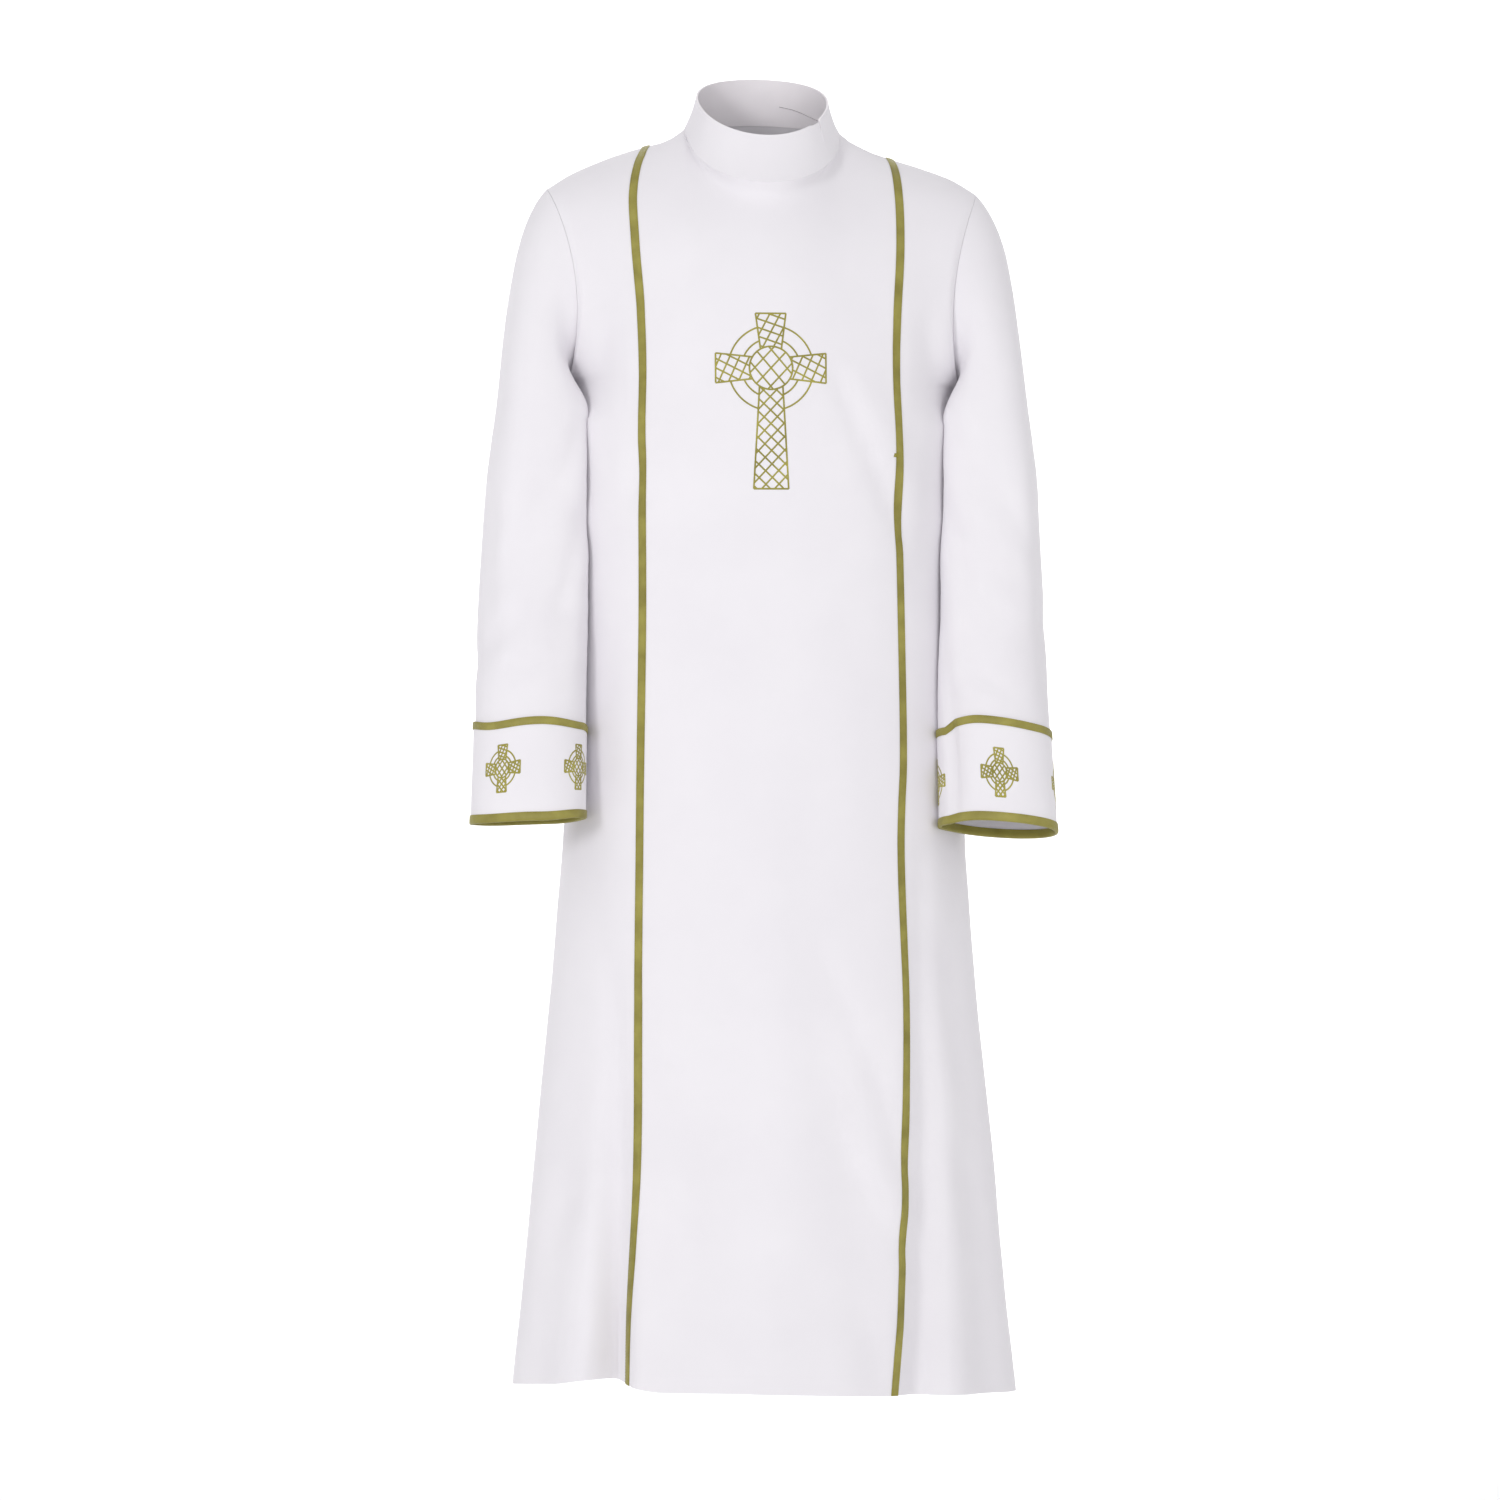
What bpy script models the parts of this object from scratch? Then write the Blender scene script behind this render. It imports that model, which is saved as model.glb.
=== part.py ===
"""A priest's robe, worn by nobody: an ankle-length white robe with a standing collar, a centre
front panel between two gold ribbons, set-in sleeves and banded cuffs.

Every piece is cut from one of four smooth cloth surfaces: the body, the sleeves, the collar and
what lies on them. A surface is a function of two numbers, and a wall of cloth is its points, with
the same points moved in by the cloth's thickness. Neighbouring pieces sample the same seam, so
they meet with an even gap. Metres, +Z up, the front faces -Y, and the origin is the middle of the
neck's base, where the wearer's shoulders carry the robe.
"""

import math
from collections import namedtuple

import bmesh
import bpy
from mathutils import Vector

# Cloth
CLOTH = 0.0016
BAND = 0.0022
TRIM = 0.0010
GAP = 0.0003

# Body: horizontal sections from the hem to the chest. The panel is the half width of the centre
# front panel there, the sway is how far that panel hangs to the wearer's left, and the flare is
# what the section is wider by on that side.
Section = namedtuple("Section", "height half_width front back roundness panel sway flare")
SECTIONS = (
    Section(-1.310, 0.262, 0.160, 0.166, 2.3, 0.1385, -0.010, 0.0062),
    Section(-1.200, 0.251, 0.155, 0.160, 2.3, 0.1385, -0.004, 0.0050),
    Section(-1.060, 0.238, 0.150, 0.153, 2.3, 0.1385, 0.002, 0.0044),
    Section(-0.900, 0.2215, 0.146, 0.146, 2.3, 0.1380, 0.002, 0.0040),
    Section(-0.740, 0.2085, 0.142, 0.141, 2.3, 0.1365, 0.002, 0.0040),
    Section(-0.590, 0.1985, 0.138, 0.132, 2.3, 0.1345, 0.001, 0.0020),
    Section(-0.440, 0.1950, 0.136, 0.120, 2.3, 0.1330, -0.001, 0.0),
    Section(-0.300, 0.2000, 0.136, 0.124, 2.3, 0.1325, -0.002, 0.0),
)
HEM = SECTIONS[0].height
CHEST = SECTIONS[-1].height

# The ribbon seams' own wander: how far each is shifted to the wearer's left.
Drift = namedtuple("Drift", "height right left")
DRIFTS = (
    Drift(0.000, 0.0072, 0.0070),
    Drift(-0.040, -0.0032, 0.0108),
    Drift(-0.085, -0.0085, 0.0115),
    Drift(-0.130, -0.0060, 0.0095),
    Drift(-0.200, 0.0002, 0.0040),
    Drift(-0.280, 0.0025, 0.0025),
    Drift(-0.480, 0.0032, 0.0032),
    Drift(-0.650, 0.0014, 0.0018),
    Drift(-0.740, 0.0012, -0.0025),
    Drift(-0.900, 0.0010, 0.0010),
    Drift(-1.060, 0.0005, -0.0010),
    Drift(-1.220, -0.0030, 0.0002),
    Drift(-1.310, -0.0022, -0.0005),
)

# The hem's rise round the robe, by the same places as the folds below.
Rise = namedtuple("Rise", "place height")
RISES = (
    Rise(-4.0, 0.000),
    Rise(-2.2, 0.000),
    Rise(-1.8, 0.006),
    Rise(-1.4, 0.012),
    Rise(-1.12, 0.019),
    Rise(-0.96, 0.013),
    Rise(-0.75, 0.009),
    Rise(0.0, 0.009),
    Rise(1.0, 0.006),
    Rise(1.5, 0.004),
    Rise(2.2, 0.000),
    Rise(4.0, 0.000),
)

# Folds of the body, each a trough (or a ridge, where its depth is negative). A place is counted
# round the robe: 0 is the middle of the front, 1 the ribbon, 2 the side seam and 4 the middle of
# the back, with a minus sign on the wearer's right.
Fold = namedtuple("Fold", "place shift width depth top power")
FOLDS = (
    Fold(-1.095, -0.060, 0.062, 0.036, -0.80, 1.6),
    Fold(1.130, 0.010, 0.070, 0.022, -0.62, 1.4),
    Fold(-1.58, 0.16, 0.13, 0.011, -0.66, 1.2),
    Fold(1.56, -0.16, 0.13, 0.011, -0.62, 1.2),
    Fold(0.93, -0.85, 0.13, 0.007, -0.74, 0.8),
    Fold(-0.42, 0.05, 0.20, 0.006, -0.50, 1.0),
    Fold(0.05, 0.00, 0.16, -0.004, -0.40, 0.8),
    Fold(-2.42, 0.00, 0.13, 0.017, -0.60, 1.2),
    Fold(2.38, 0.05, 0.14, 0.018, -0.55, 1.2),
    Fold(-3.05, 0.06, 0.15, 0.020, -0.50, 1.2),
    Fold(2.97, -0.05, 0.14, 0.018, -0.58, 1.2),
    Fold(-3.62, 0.05, 0.13, 0.017, -0.45, 1.2),
    Fold(3.55, -0.05, 0.15, 0.021, -0.52, 1.2),
)

# Shoulder seam, from the neck out to the sleeve: how far out, and how high.
Spot = namedtuple("Spot", "out height")
SHOULDER = (
    Spot(0.0820, 0.0105),
    Spot(0.1000, -0.0025),
    Spot(0.1276, -0.0120),
    Spot(0.1650, -0.0245),
    Spot(0.2000, -0.0395),
    Spot(0.2260, -0.0560),
)
RIBBON_TOP = SHOULDER[2].out
SEAM_BACK = 0.010
NECK_SEAM_BACK = 0.005

# Armhole: its lowest point, how far it reaches forward and back of the shoulder seam, and how far
# its front and back curve in towards the chest.
ARMPIT = Vector((0.2050, 0.006, -0.262))
ARMHOLE_FRONT, ARMHOLE_BACK = 0.070, 0.078
SCOOP_FRONT, SCOOP_BACK = 0.018, 0.009

# Neckline and the collar's rim: half width, front and back edge, and the height at each of them.
NECK = dict(half=0.082, front=-0.097, back=0.072, low=-0.053, side=0.0105, high=0.022)
RIM = dict(half=0.0693, front=-0.075, back=0.060, low=-0.002, side=0.0425, high=0.070)
COLLAR_DIP = 0.0015
COLLAR_SLIT = 56.25
COLLAR_NICK = 0.0030

# Sleeve: level sections from the bicep to the cuff's end.
Ring = namedtuple("Ring", "height inner outer middle depth roundness")
RINGS = (
    Ring(-0.300, 0.1760, 0.2805, -0.006, 0.078, 2.7),
    Ring(-0.370, 0.1750, 0.2880, -0.012, 0.076, 2.6),
    Ring(-0.450, 0.1760, 0.2945, -0.024, 0.069, 2.4),
    Ring(-0.530, 0.1800, 0.2985, -0.044, 0.060, 2.3),
    Ring(-0.6150, 0.1855, 0.3005, -0.070, 0.050, 2.2),
    Ring(-0.7190, 0.1880, 0.3045, -0.094, 0.043, 2.2),
)
BICEP, CUFF_END = RINGS[0].height, RINGS[-1].height
CUFF_TOP = RINGS[-2].height
CUFF_TILT = {-1: 0.07, 1: 0.20}
CUFF_SLANT = {-1: 0.02, 1: 0.06}
CUFF_SWING = {-1: 0.0015, 1: -0.0045}
CUFF_STEP = 0.0014
ARM_CLEAR = 0.0036
ARM_EASE = 0.0030

# Folds of a sleeve: the angle round it from the outer side over the front, and heights.
Crease = namedtuple("Crease", "side angle swing width depth height reach")
CREASES = (
    Crease(-1, 60, 90, 22, 0.0040, -0.520, 0.060),
    Crease(-1, 130, -80, 20, 0.0035, -0.400, 0.070),
    Crease(-1, 30, 20, 26, -0.0030, -0.330, 0.120),
    Crease(-1, 250, 60, 24, 0.0045, -0.480, 0.080),
    Crease(1, 70, -80, 22, 0.0040, -0.540, 0.060),
    Crease(1, 120, 70, 20, 0.0035, -0.420, 0.070),
    Crease(1, 40, -20, 26, -0.0030, -0.340, 0.120),
    Crease(1, 260, -60, 24, 0.0045, -0.470, 0.080),
    Crease(1, 150, 0, 15, 0.0060, -0.670, 0.090),
)

# The robe hangs a little lower on the wearer's left. Each row is a distance to that side and the
# drop there, at the shoulders and from the waist down.
Lean = namedtuple("Lean", "out top low")
LEANS = (
    Lean(-0.30, -0.0055, -0.0042),
    Lean(-0.20, -0.0032, -0.0028),
    Lean(-0.13, -0.0034, -0.0018),
    Lean(-0.08, -0.0002, -0.0011),
    Lean(0.00, 0.0000, 0.0000),
    Lean(0.13, 0.0042, 0.0018),
    Lean(0.17, 0.0028, 0.0024),
    Lean(0.21, 0.0002, 0.0029),
    Lean(0.30, 0.0000, 0.0042),
)

# Trim
RIBBON_WIDTH = 0.0086
CUFF_RIBBON = 0.0080
BINDING = 0.0080

# Where the surfaces are sampled
CENTRE_COLUMNS = 8
NECK_PLACE = 0.62
RIBBON_IN, RIBBON_OUT = 0.97, 1.04
BACK_NECK_PLACE = 3.05
SIDE_PLACES = (1.095, 1.145, 1.20, 1.28, 1.39, 1.52, 1.66, 1.80, 1.91, 2.0)
BACK_PLACES = (2.0, 2.11, 2.24, 2.37, 2.50, 2.64, 2.78, 2.92, 3.05)
BACK_NECK_COLUMNS = 8
HEM_LEVELS = 17
ARMPIT_LEVELS = (1.0, 1.09)
ARMHOLE_ANGLES = (180, 160, 142, 126, 111, 96, 81, 66, 51, 35, 18, 0)
ARMPIT_LEVEL = 1.135
CAP_ROWS = 6
ARM_ROWS = 9

WHITE = (0.86, 0.855, 0.875, 1.0)
GOLD = (0.42, 0.36, 0.08, 1.0)


def smooth(x):
    x = min(1.0, max(0.0, x))
    return x * x * (3 - 2 * x)


def along(rows, at):
    """The row of a table at a height or distance, on a smooth curve through its rows."""
    keys = [row[0] for row in rows]
    sign = 1 if keys[-1] > keys[0] else -1
    i = 0
    while i < len(rows) - 2 and sign * at > sign * keys[i + 1]:
        i += 1
    span = keys[i + 1] - keys[i]
    t = min(1.0, max(0.0, (at - keys[i]) / span))
    found = [at]
    for column in range(1, len(rows[0])):
        values = [row[column] for row in rows]

        def slope(k):
            if k in (0, len(rows) - 1):
                near = (0, 1) if k == 0 else (-2, -1)
                return (values[near[1]] - values[near[0]]) / (keys[near[1]] - keys[near[0]])
            return (values[k + 1] - values[k - 1]) / (keys[k + 1] - keys[k - 1])

        found.append(hermite(t, values[i], slope(i) * span, values[i + 1], slope(i + 1) * span))
    return type(rows[0])(*found)


def hermite(t, start, leave, end, arrive):
    """A curve from start to end that leaves and arrives with the given velocities."""
    return (
        start * (2 * t**3 - 3 * t**2 + 1)
        + leave * (t**3 - 2 * t**2 + t)
        + end * (3 * t**2 - 2 * t**3)
        + arrive * (t**3 - t**2)
    )


def lean(point):
    share = smooth((point.z + 0.40) / 0.35)
    drop = along(LEANS, point.x)
    return Vector((point.x, point.y, point.z - drop.low - (drop.top - drop.low) * share))


def turn(place, section):
    """The angle of a place round a section, from the middle of the front to that of the back."""
    if place <= 1:
        return math.asin((place * section.panel / section.half_width) ** (section.roundness / 2))
    ribbon = math.asin((section.panel / section.half_width) ** (section.roundness / 2))
    if place <= 2:
        return ribbon + (place - 1) * (math.pi / 2 - ribbon)
    return math.pi / 2 + (place - 2) * math.pi / 4


def ring_point(place, side, section):
    angle = turn(place, section)
    bend = 2 / section.roundness
    reach = abs(math.cos(angle)) ** bend
    x = section.half_width * math.sin(angle) ** bend if place < 4 else 0.0
    y = -section.front * reach if place <= 2 else section.back * reach
    if side > 0:
        x += section.flare * math.sin(angle) ** 3
    sway = section.sway * max(0.0, math.cos(angle))
    return Vector((side * x + sway, y, section.height))


def fold_depth(place, side, height):
    """How far the folds press the cloth in, at a place and a height."""
    depth = 0.0
    for fold in FOLDS:
        share = min(1.0, max(0.0, (fold.top - height) / (fold.top - HEM)))
        middle = fold.place + fold.shift * (1 - share)
        away = side * place - middle
        if abs(away) > 4:
            away = 8 - abs(away)
        depth += fold.depth * share**fold.power * math.exp(-0.5 * (away / fold.width) ** 2)
    return depth


def ring_place(place, side, height):
    """A point of the body below the chest, with its folds."""
    section = along(SECTIONS, height)
    here = ring_point(place, side, section)
    near, far = max(place - 0.02, 0.0), min(place + 0.02, 4.0)
    run = ring_point(far, side, section) - ring_point(near, side, section)
    outward = Vector((run.y, -run.x, 0)).normalized() * side
    return here - outward * fold_depth(place, side, height)


def neckline(angle):
    """The neck seam, 0 degrees in front and 180 behind."""
    turned = math.radians(angle)
    front = math.cos(turned) > 0
    reach = abs(math.cos(turned))
    middle = NECK_SEAM_BACK
    y = middle + (NECK["front"] - middle if front else NECK["back"] - middle) * reach
    z = NECK["side"] + (NECK["low"] - NECK["side"] if front else NECK["high"] - NECK["side"]) * reach
    return Vector((NECK["half"] * math.sin(turned), y, z))


def shoulder(out):
    share = (out - SHOULDER[0].out) / (SHOULDER[-1].out - SHOULDER[0].out)
    return Vector((out, NECK_SEAM_BACK + (SEAM_BACK - NECK_SEAM_BACK) * share, along(SHOULDER, out).height))


def top_edge(place):
    """The upper edge of the front or back: the neckline, then the shoulder seam."""
    neck, tip = SHOULDER[0].out, SHOULDER[-1].out
    if place <= NECK_PLACE:
        return neckline(90 * place / NECK_PLACE)
    if place <= 1:
        return shoulder(neck + (RIBBON_TOP - neck) * (place - NECK_PLACE) / (1 - NECK_PLACE))
    if place <= 2:
        return shoulder(RIBBON_TOP + (tip - RIBBON_TOP) * (place - 1))
    if place <= BACK_NECK_PLACE:
        return shoulder(tip + (neck - tip) * (place - 2) / (BACK_NECK_PLACE - 2))
    return neckline(90 + 90 * (place - BACK_NECK_PLACE) / (4 - BACK_NECK_PLACE))


def top_slope(place):
    """The direction in which the cloth arrives at its upper edge."""
    if place <= 2:
        lift = 62 - 44 * smooth(place / (NECK_PLACE + 0.12))
        return Vector((0, math.cos(math.radians(lift)), math.sin(math.radians(lift))))
    lift = 16 + 50 * smooth((place - BACK_NECK_PLACE + 0.10) / (4.10 - BACK_NECK_PLACE))
    return Vector((0, -math.cos(math.radians(lift)), math.sin(math.radians(lift))))


def armhole(angle):
    """The armhole seam, 0 degrees at the shoulder, 90 in front and 180 at the armpit."""
    turned = math.radians(angle)
    tip = shoulder(SHOULDER[-1].out)
    rise = (1 + math.cos(turned)) / 2
    forward = math.sin(turned)
    reach = ARMHOLE_FRONT if forward > 0 else ARMHOLE_BACK
    scoop = SCOOP_FRONT if forward > 0 else SCOOP_BACK
    x = ARMPIT.x + (tip.x - ARMPIT.x) * rise - scoop * forward**2
    y = ARMPIT.y + (tip.y - ARMPIT.y) * rise - reach * forward
    return Vector((x, y, ARMPIT.z + (tip.z - ARMPIT.z) * rise))


def armhole_angle(level):
    """The armhole's angle at a level above the armpit."""
    share = (level - ARMPIT_LEVEL) / (2 - ARMPIT_LEVEL)
    steps = share * (len(ARMHOLE_ANGLES) - 1)
    i = min(int(steps), len(ARMHOLE_ANGLES) - 2)
    return ARMHOLE_ANGLES[i] + (ARMHOLE_ANGLES[i + 1] - ARMHOLE_ANGLES[i]) * (steps - i)


def side_edge(level, front):
    """The side edge of the front or back above the chest: the side seam, then the armhole."""
    foot = ring_place(2.0, 1, CHEST)
    if level <= ARMPIT_LEVEL:
        t = (level - 1) / (ARMPIT_LEVEL - 1)
        return hermite(t, foot, Vector((0, 0, 0.038)), ARMPIT, Vector((0.012, 0, 0.016)))
    angle = armhole_angle(level)
    return armhole(angle if front else 360 - angle)


def column(place, side, level):
    """A point of a column of cloth that rises from the chest to the upper edge."""
    foot, top = ring_place(place, side, CHEST), top_edge(place)
    top.x *= side
    t = level - 1
    length = (top - foot).length
    arrive = 0.90
    if place > 2:
        arrive += 0.22 * smooth((place - 2.2) / 0.8) - 0.34 * smooth(place - 3)
    return hermite(t, foot, Vector((0, 0, 0.95 * length)), top, top_slope(place) * arrive * length)


def drifted(place, side, height):
    """A place of the front, moved with the wander of the ribbon seam on its side."""
    if NECK_PLACE < place < 2:
        drift = along(DRIFTS, height)
        move = side * (drift.left if side > 0 else drift.right)
        if place <= 1:
            share = smooth((place - NECK_PLACE) / (1 - NECK_PLACE))
        else:
            share = smooth(2 - place)
        place += move / (SECTIONS[0].panel if move < 0 else 0.095) * share
    return place


def body(place, level):
    """The robe's body. Place runs round it, and level from the hem, 0, by the chest, 1, to 2."""
    side = -1 if place < 0 else 1
    if level <= 1:
        rise = along(RISES, place).height
        height = CHEST + (HEM + rise - CHEST) * (1 - level)
        place = drifted(abs(place), side, height)
        return lean(ring_place(place, side, height))
    place = drifted(abs(place), side, CHEST * (2 - level))
    point = column(place, side, level)
    front = place <= 2
    pull = smooth(place - 1) if front else smooth((3.2 - place) / 1.2)
    if pull > 0:
        edge = side_edge(level, front)
        edge.x *= side
        point += (edge - column(2.0 if front else 2.0 + 1e-9, side, level)) * pull
    return lean(point)


def body_width(y, side, height):
    """The half width of the body on one side, at a depth and a height."""
    section = along(SECTIONS, min(height, CHEST))
    reach = abs(y) / (section.front if y < 0 else section.back)
    half = section.half_width + (section.flare if side > 0 else 0.0)
    return half * max(0.0, 1 - reach**section.roundness) ** (1 / section.roundness)


def sleeve_ring(angle, side, height):
    """A point of a sleeve below the bicep, kept clear of the body's side."""
    ring = along(RINGS, height)
    turned = math.radians(angle)
    bend = 2 / ring.roundness
    across = math.copysign(abs(math.cos(turned)) ** bend, math.cos(turned))
    forward = math.copysign(abs(math.sin(turned)) ** bend, math.sin(turned))
    half = (ring.outer - ring.inner) / 2
    press = 0.0
    for crease in CREASES:
        if crease.side == side:
            up = (height - crease.height) / crease.reach
            away = (angle - crease.angle - crease.swing * up + 180) % 360 - 180
            press += crease.depth * math.exp(-0.5 * (away / crease.width) ** 2 - 0.5 * up**2 * 4)
    swing = CUFF_SWING[side] * smooth((BICEP - height) / (BICEP - CUFF_TOP))
    x = (ring.outer + ring.inner) / 2 + (half - press) * across + swing
    y = ring.middle - (ring.depth - press) * forward
    wall = body_width(y, side, height) + ARM_CLEAR
    x = wall + 0.5 * (x - wall + math.sqrt((x - wall) ** 2 + ARM_EASE**2))
    tilt = CUFF_TILT[side] * smooth((BICEP - 0.06 - height) / (BICEP - 0.06 - CUFF_TOP))
    slant = CUFF_SLANT[side] * smooth((BICEP - height) / (BICEP - CUFF_TOP))
    middle = (ring.outer + ring.inner) / 2
    return Vector((x, y, height - tilt * (y - ring.middle) - slant * (x - middle)))


def sleeve(angle, side, run):
    """A sleeve. Run goes from the armhole, 0, by the bicep, 1, to the cuff's end, 2."""
    if run >= 1:
        point = sleeve_ring(angle, side, BICEP + (CUFF_END - BICEP) * (run - 1))
    else:
        start, end = armhole(angle), sleeve_ring(angle, side, BICEP)
        turned = math.radians(angle)
        drop = 0.5 * (1 - math.cos(turned))
        leave = Vector((0.13 - 0.05 * drop, -0.02 * math.sin(turned), -0.13 + 0.10 * drop))
        arrive = Vector((0.018 + 0.012 * (1 - drop) ** 6, -0.006, -0.20 + 0.13 * drop))
        point = hermite(run, start, leave, end, arrive)
    point.x *= side
    return lean(point)


def rim(angle):
    """The collar's upper edge."""
    turned = math.radians(angle)
    middle = (RIM["front"] + RIM["back"]) / 2
    swing = (RIM["high"] - RIM["low"]) / 2
    mean = (RIM["high"] + RIM["low"]) / 2
    saddle = (mean - RIM["side"]) / 2
    return Vector((
        RIM["half"] * math.sin(turned),
        middle - (RIM["back"] - RIM["front"]) / 2 * math.cos(turned),
        mean - saddle - swing * math.cos(turned) + saddle * math.cos(2 * turned),
    ))


def collar(angle, rise):
    """The collar. Angle is signed from the front, positive on the wearer's left."""
    side = -1 if angle < 0 or angle > 180 else 1
    turned = abs(angle) if angle <= 180 else 360 - angle
    low, high = neckline(turned), rim(turned)
    out = Vector((math.sin(math.radians(turned)), -math.cos(math.radians(turned)), 0))
    point = low.lerp(high, rise) - out * COLLAR_DIP * 4 * rise * (1 - rise)
    point.x *= side
    return lean(point)


def facing(surface, a, b, step_a, step_b, low_b, high_b):
    """The outward direction of a surface of two numbers, from its own points nearby."""
    run = surface(a + step_a, b) - surface(a - step_a, b)
    rise = surface(a, min(b + step_b, high_b)) - surface(a, max(b - step_b, low_b))
    return run.cross(rise).normalized()


def body_facing(place, level):
    place = min(max(place, -3.995), 3.995)
    if abs(place) < 0.004:
        place = 0.004
    return facing(body, place, level, 0.003, 0.004, 0.0, 2.0)


def collar_facing(angle, rise):
    return facing(collar, angle, rise, 0.5, 0.02, 0.0, 1.0)


def sleeve_facing(angle, side, run):
    def one_side(a, b):
        return sleeve(a, side, b)

    return facing(one_side, angle, run, 1.0, 0.01, 0.0, 2.0) * side


def neck_facing(angle):
    """The direction out of the neck seam, shared by the collar and the body."""
    place = neck_place(angle)
    return (body_facing(place, 1.995) + collar_facing(angle, 0.02)).normalized()


def neck_place(angle):
    side = -1 if angle < 0 else 1
    turned = abs(angle)
    if turned <= 90:
        return side * NECK_PLACE * turned / 90
    return side * (BACK_NECK_PLACE + (4 - BACK_NECK_PLACE) * (turned - 90) / 90)


def shoulder_facing(place):
    """The direction out of the shoulder seam, shared by the front and the back."""
    side = -1 if place < 0 else 1
    out = abs(top_edge(abs(place)).x)
    front = out_place(out, True) * side
    back = out_place(out, False) * side
    return (body_facing(front, 1.995) + body_facing(back, 1.995)).normalized()


def out_place(out, front):
    """The place on the front or back whose column ends this far out on the shoulder seam."""
    neck, tip = SHOULDER[0].out, SHOULDER[-1].out
    if not front:
        return 2 + (BACK_NECK_PLACE - 2) * (tip - out) / (tip - neck)
    if out <= RIBBON_TOP:
        return NECK_PLACE + (1 - NECK_PLACE) * (out - neck) / (RIBBON_TOP - neck)
    return 1 + (out - RIBBON_TOP) / (tip - RIBBON_TOP)


def armhole_facing(angle, side):
    """The direction out of the armhole seam, in the armhole's own plane."""
    along_seam = armhole(angle + 1) - armhole(angle - 1)
    across = Vector((1, 0, -0.10))
    out = along_seam.cross(across).normalized()
    return Vector((out.x * side, out.y, out.z))


def seam_facing(place, level):
    """The outward direction of the body, shared with whatever is sewn on at its edges."""
    size, side = abs(place), (-1 if place < 0 else 1)
    at_side = abs(size - 2) < 1e-6
    if at_side and level > ARMPIT_LEVEL - 1e-6:
        angle = armhole_angle(level)
        return armhole_facing(angle if size <= 2 else 360 - angle, side)
    if level < 2 - 1e-6:
        if at_side:
            return (body_facing(2 * side - 0.004, level) + body_facing(2 * side + 0.004, level)).normalized()
        return body_facing(place, level)
    if size <= NECK_PLACE + 1e-6:
        return neck_facing(side * 90 * size / NECK_PLACE)
    if size >= BACK_NECK_PLACE - 1e-6:
        return neck_facing(side * (90 + 90 * (size - BACK_NECK_PLACE) / (4 - BACK_NECK_PLACE)))
    return shoulder_facing(place)


def wall(name, outer, inner, closed, material):
    """A closed wall of cloth between two grids of points, one row for each level."""
    mesh = bpy.data.meshes.new(name)
    grid = bmesh.new()
    faces = [[grid.verts.new(point) for point in row] for row in outer]
    backs = [[grid.verts.new(point) for point in row] for row in inner]
    rows, columns = len(outer), len(outer[0])
    steps = columns if closed else columns - 1
    for i in range(rows - 1):
        for j in range(steps):
            k = (j + 1) % columns
            grid.faces.new((faces[i][j], faces[i][k], faces[i + 1][k], faces[i + 1][j]))
            grid.faces.new((backs[i][j], backs[i + 1][j], backs[i + 1][k], backs[i][k]))
    for j in range(steps):
        k = (j + 1) % columns
        grid.faces.new((faces[0][j], backs[0][j], backs[0][k], faces[0][k]))
        grid.faces.new((faces[-1][j], faces[-1][k], backs[-1][k], backs[-1][j]))
    if not closed:
        for i in range(rows - 1):
            grid.faces.new((faces[i][0], faces[i + 1][0], backs[i + 1][0], backs[i][0]))
            grid.faces.new((faces[i][-1], backs[i][-1], backs[i + 1][-1], faces[i + 1][-1]))
    bmesh.ops.recalc_face_normals(grid, faces=grid.faces)
    grid.to_mesh(mesh)
    grid.free()
    mesh.materials.append(material)
    piece = bpy.data.objects.new(name, mesh)
    robe.objects.link(piece)
    mesh.shade_smooth()
    mesh.set_sharp_from_angle(angle=math.radians(40))
    return piece


def levels():
    """The rows of the body, from the hem to the shoulder."""
    lower = [i / HEM_LEVELS for i in range(HEM_LEVELS)]
    steps = len(ARMHOLE_ANGLES) - 1
    upper = [ARMPIT_LEVEL + (2 - ARMPIT_LEVEL) * i / steps for i in range(steps + 1)]
    return lower + list(ARMPIT_LEVELS) + upper


def settled(place, level):
    """The place, or for a ribbon's edge the place that is half its width from the seam."""
    side, size = (-1 if place < 0 else 1), abs(place)
    if size not in (RIBBON_IN, RIBBON_OUT):
        return place
    span = (body(side * size, level) - body(side, level)).length
    return side * (1 + (size - 1) * RIBBON_WIDTH / 2 / span)


def nudged(point, neighbour, distance):
    """The point moved towards its neighbour."""
    return point + (neighbour - point).normalized() * distance


def panel(name, places, thickness, material):
    """A panel of the body between two seams, its edges drawn in by half the seam's gap."""
    outer, inner = [], []
    rows = levels()
    for level in rows:
        spots = [settled(place, level) for place in places]
        line = [body(place, level) for place in spots]
        depths = [seam_facing(place, level) for place in spots]
        outer.append(line)
        inner.append([point - way * thickness for point, way in zip(line, depths)])
    for grid in (outer, inner):
        for line in grid:
            ends = line[0].copy(), line[-1].copy()
            line[0] = nudged(ends[0], line[1], GAP / 2)
            line[-1] = nudged(ends[1], line[-2], GAP / 2)
        grid[-1] = [nudged(top, under, GAP / 2) for top, under in zip(grid[-1], grid[-2])]
    return wall(name, outer, inner, False, material)


def cloth_material(name, colour, roughness):
    material = bpy.data.materials.new(name)
    material.use_nodes = True
    shader = material.node_tree.nodes["Principled BSDF"]
    shader.inputs["Base Color"].default_value = colour
    shader.inputs["Roughness"].default_value = roughness
    shader.inputs["Metallic"].default_value = 0.0
    return material


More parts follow.
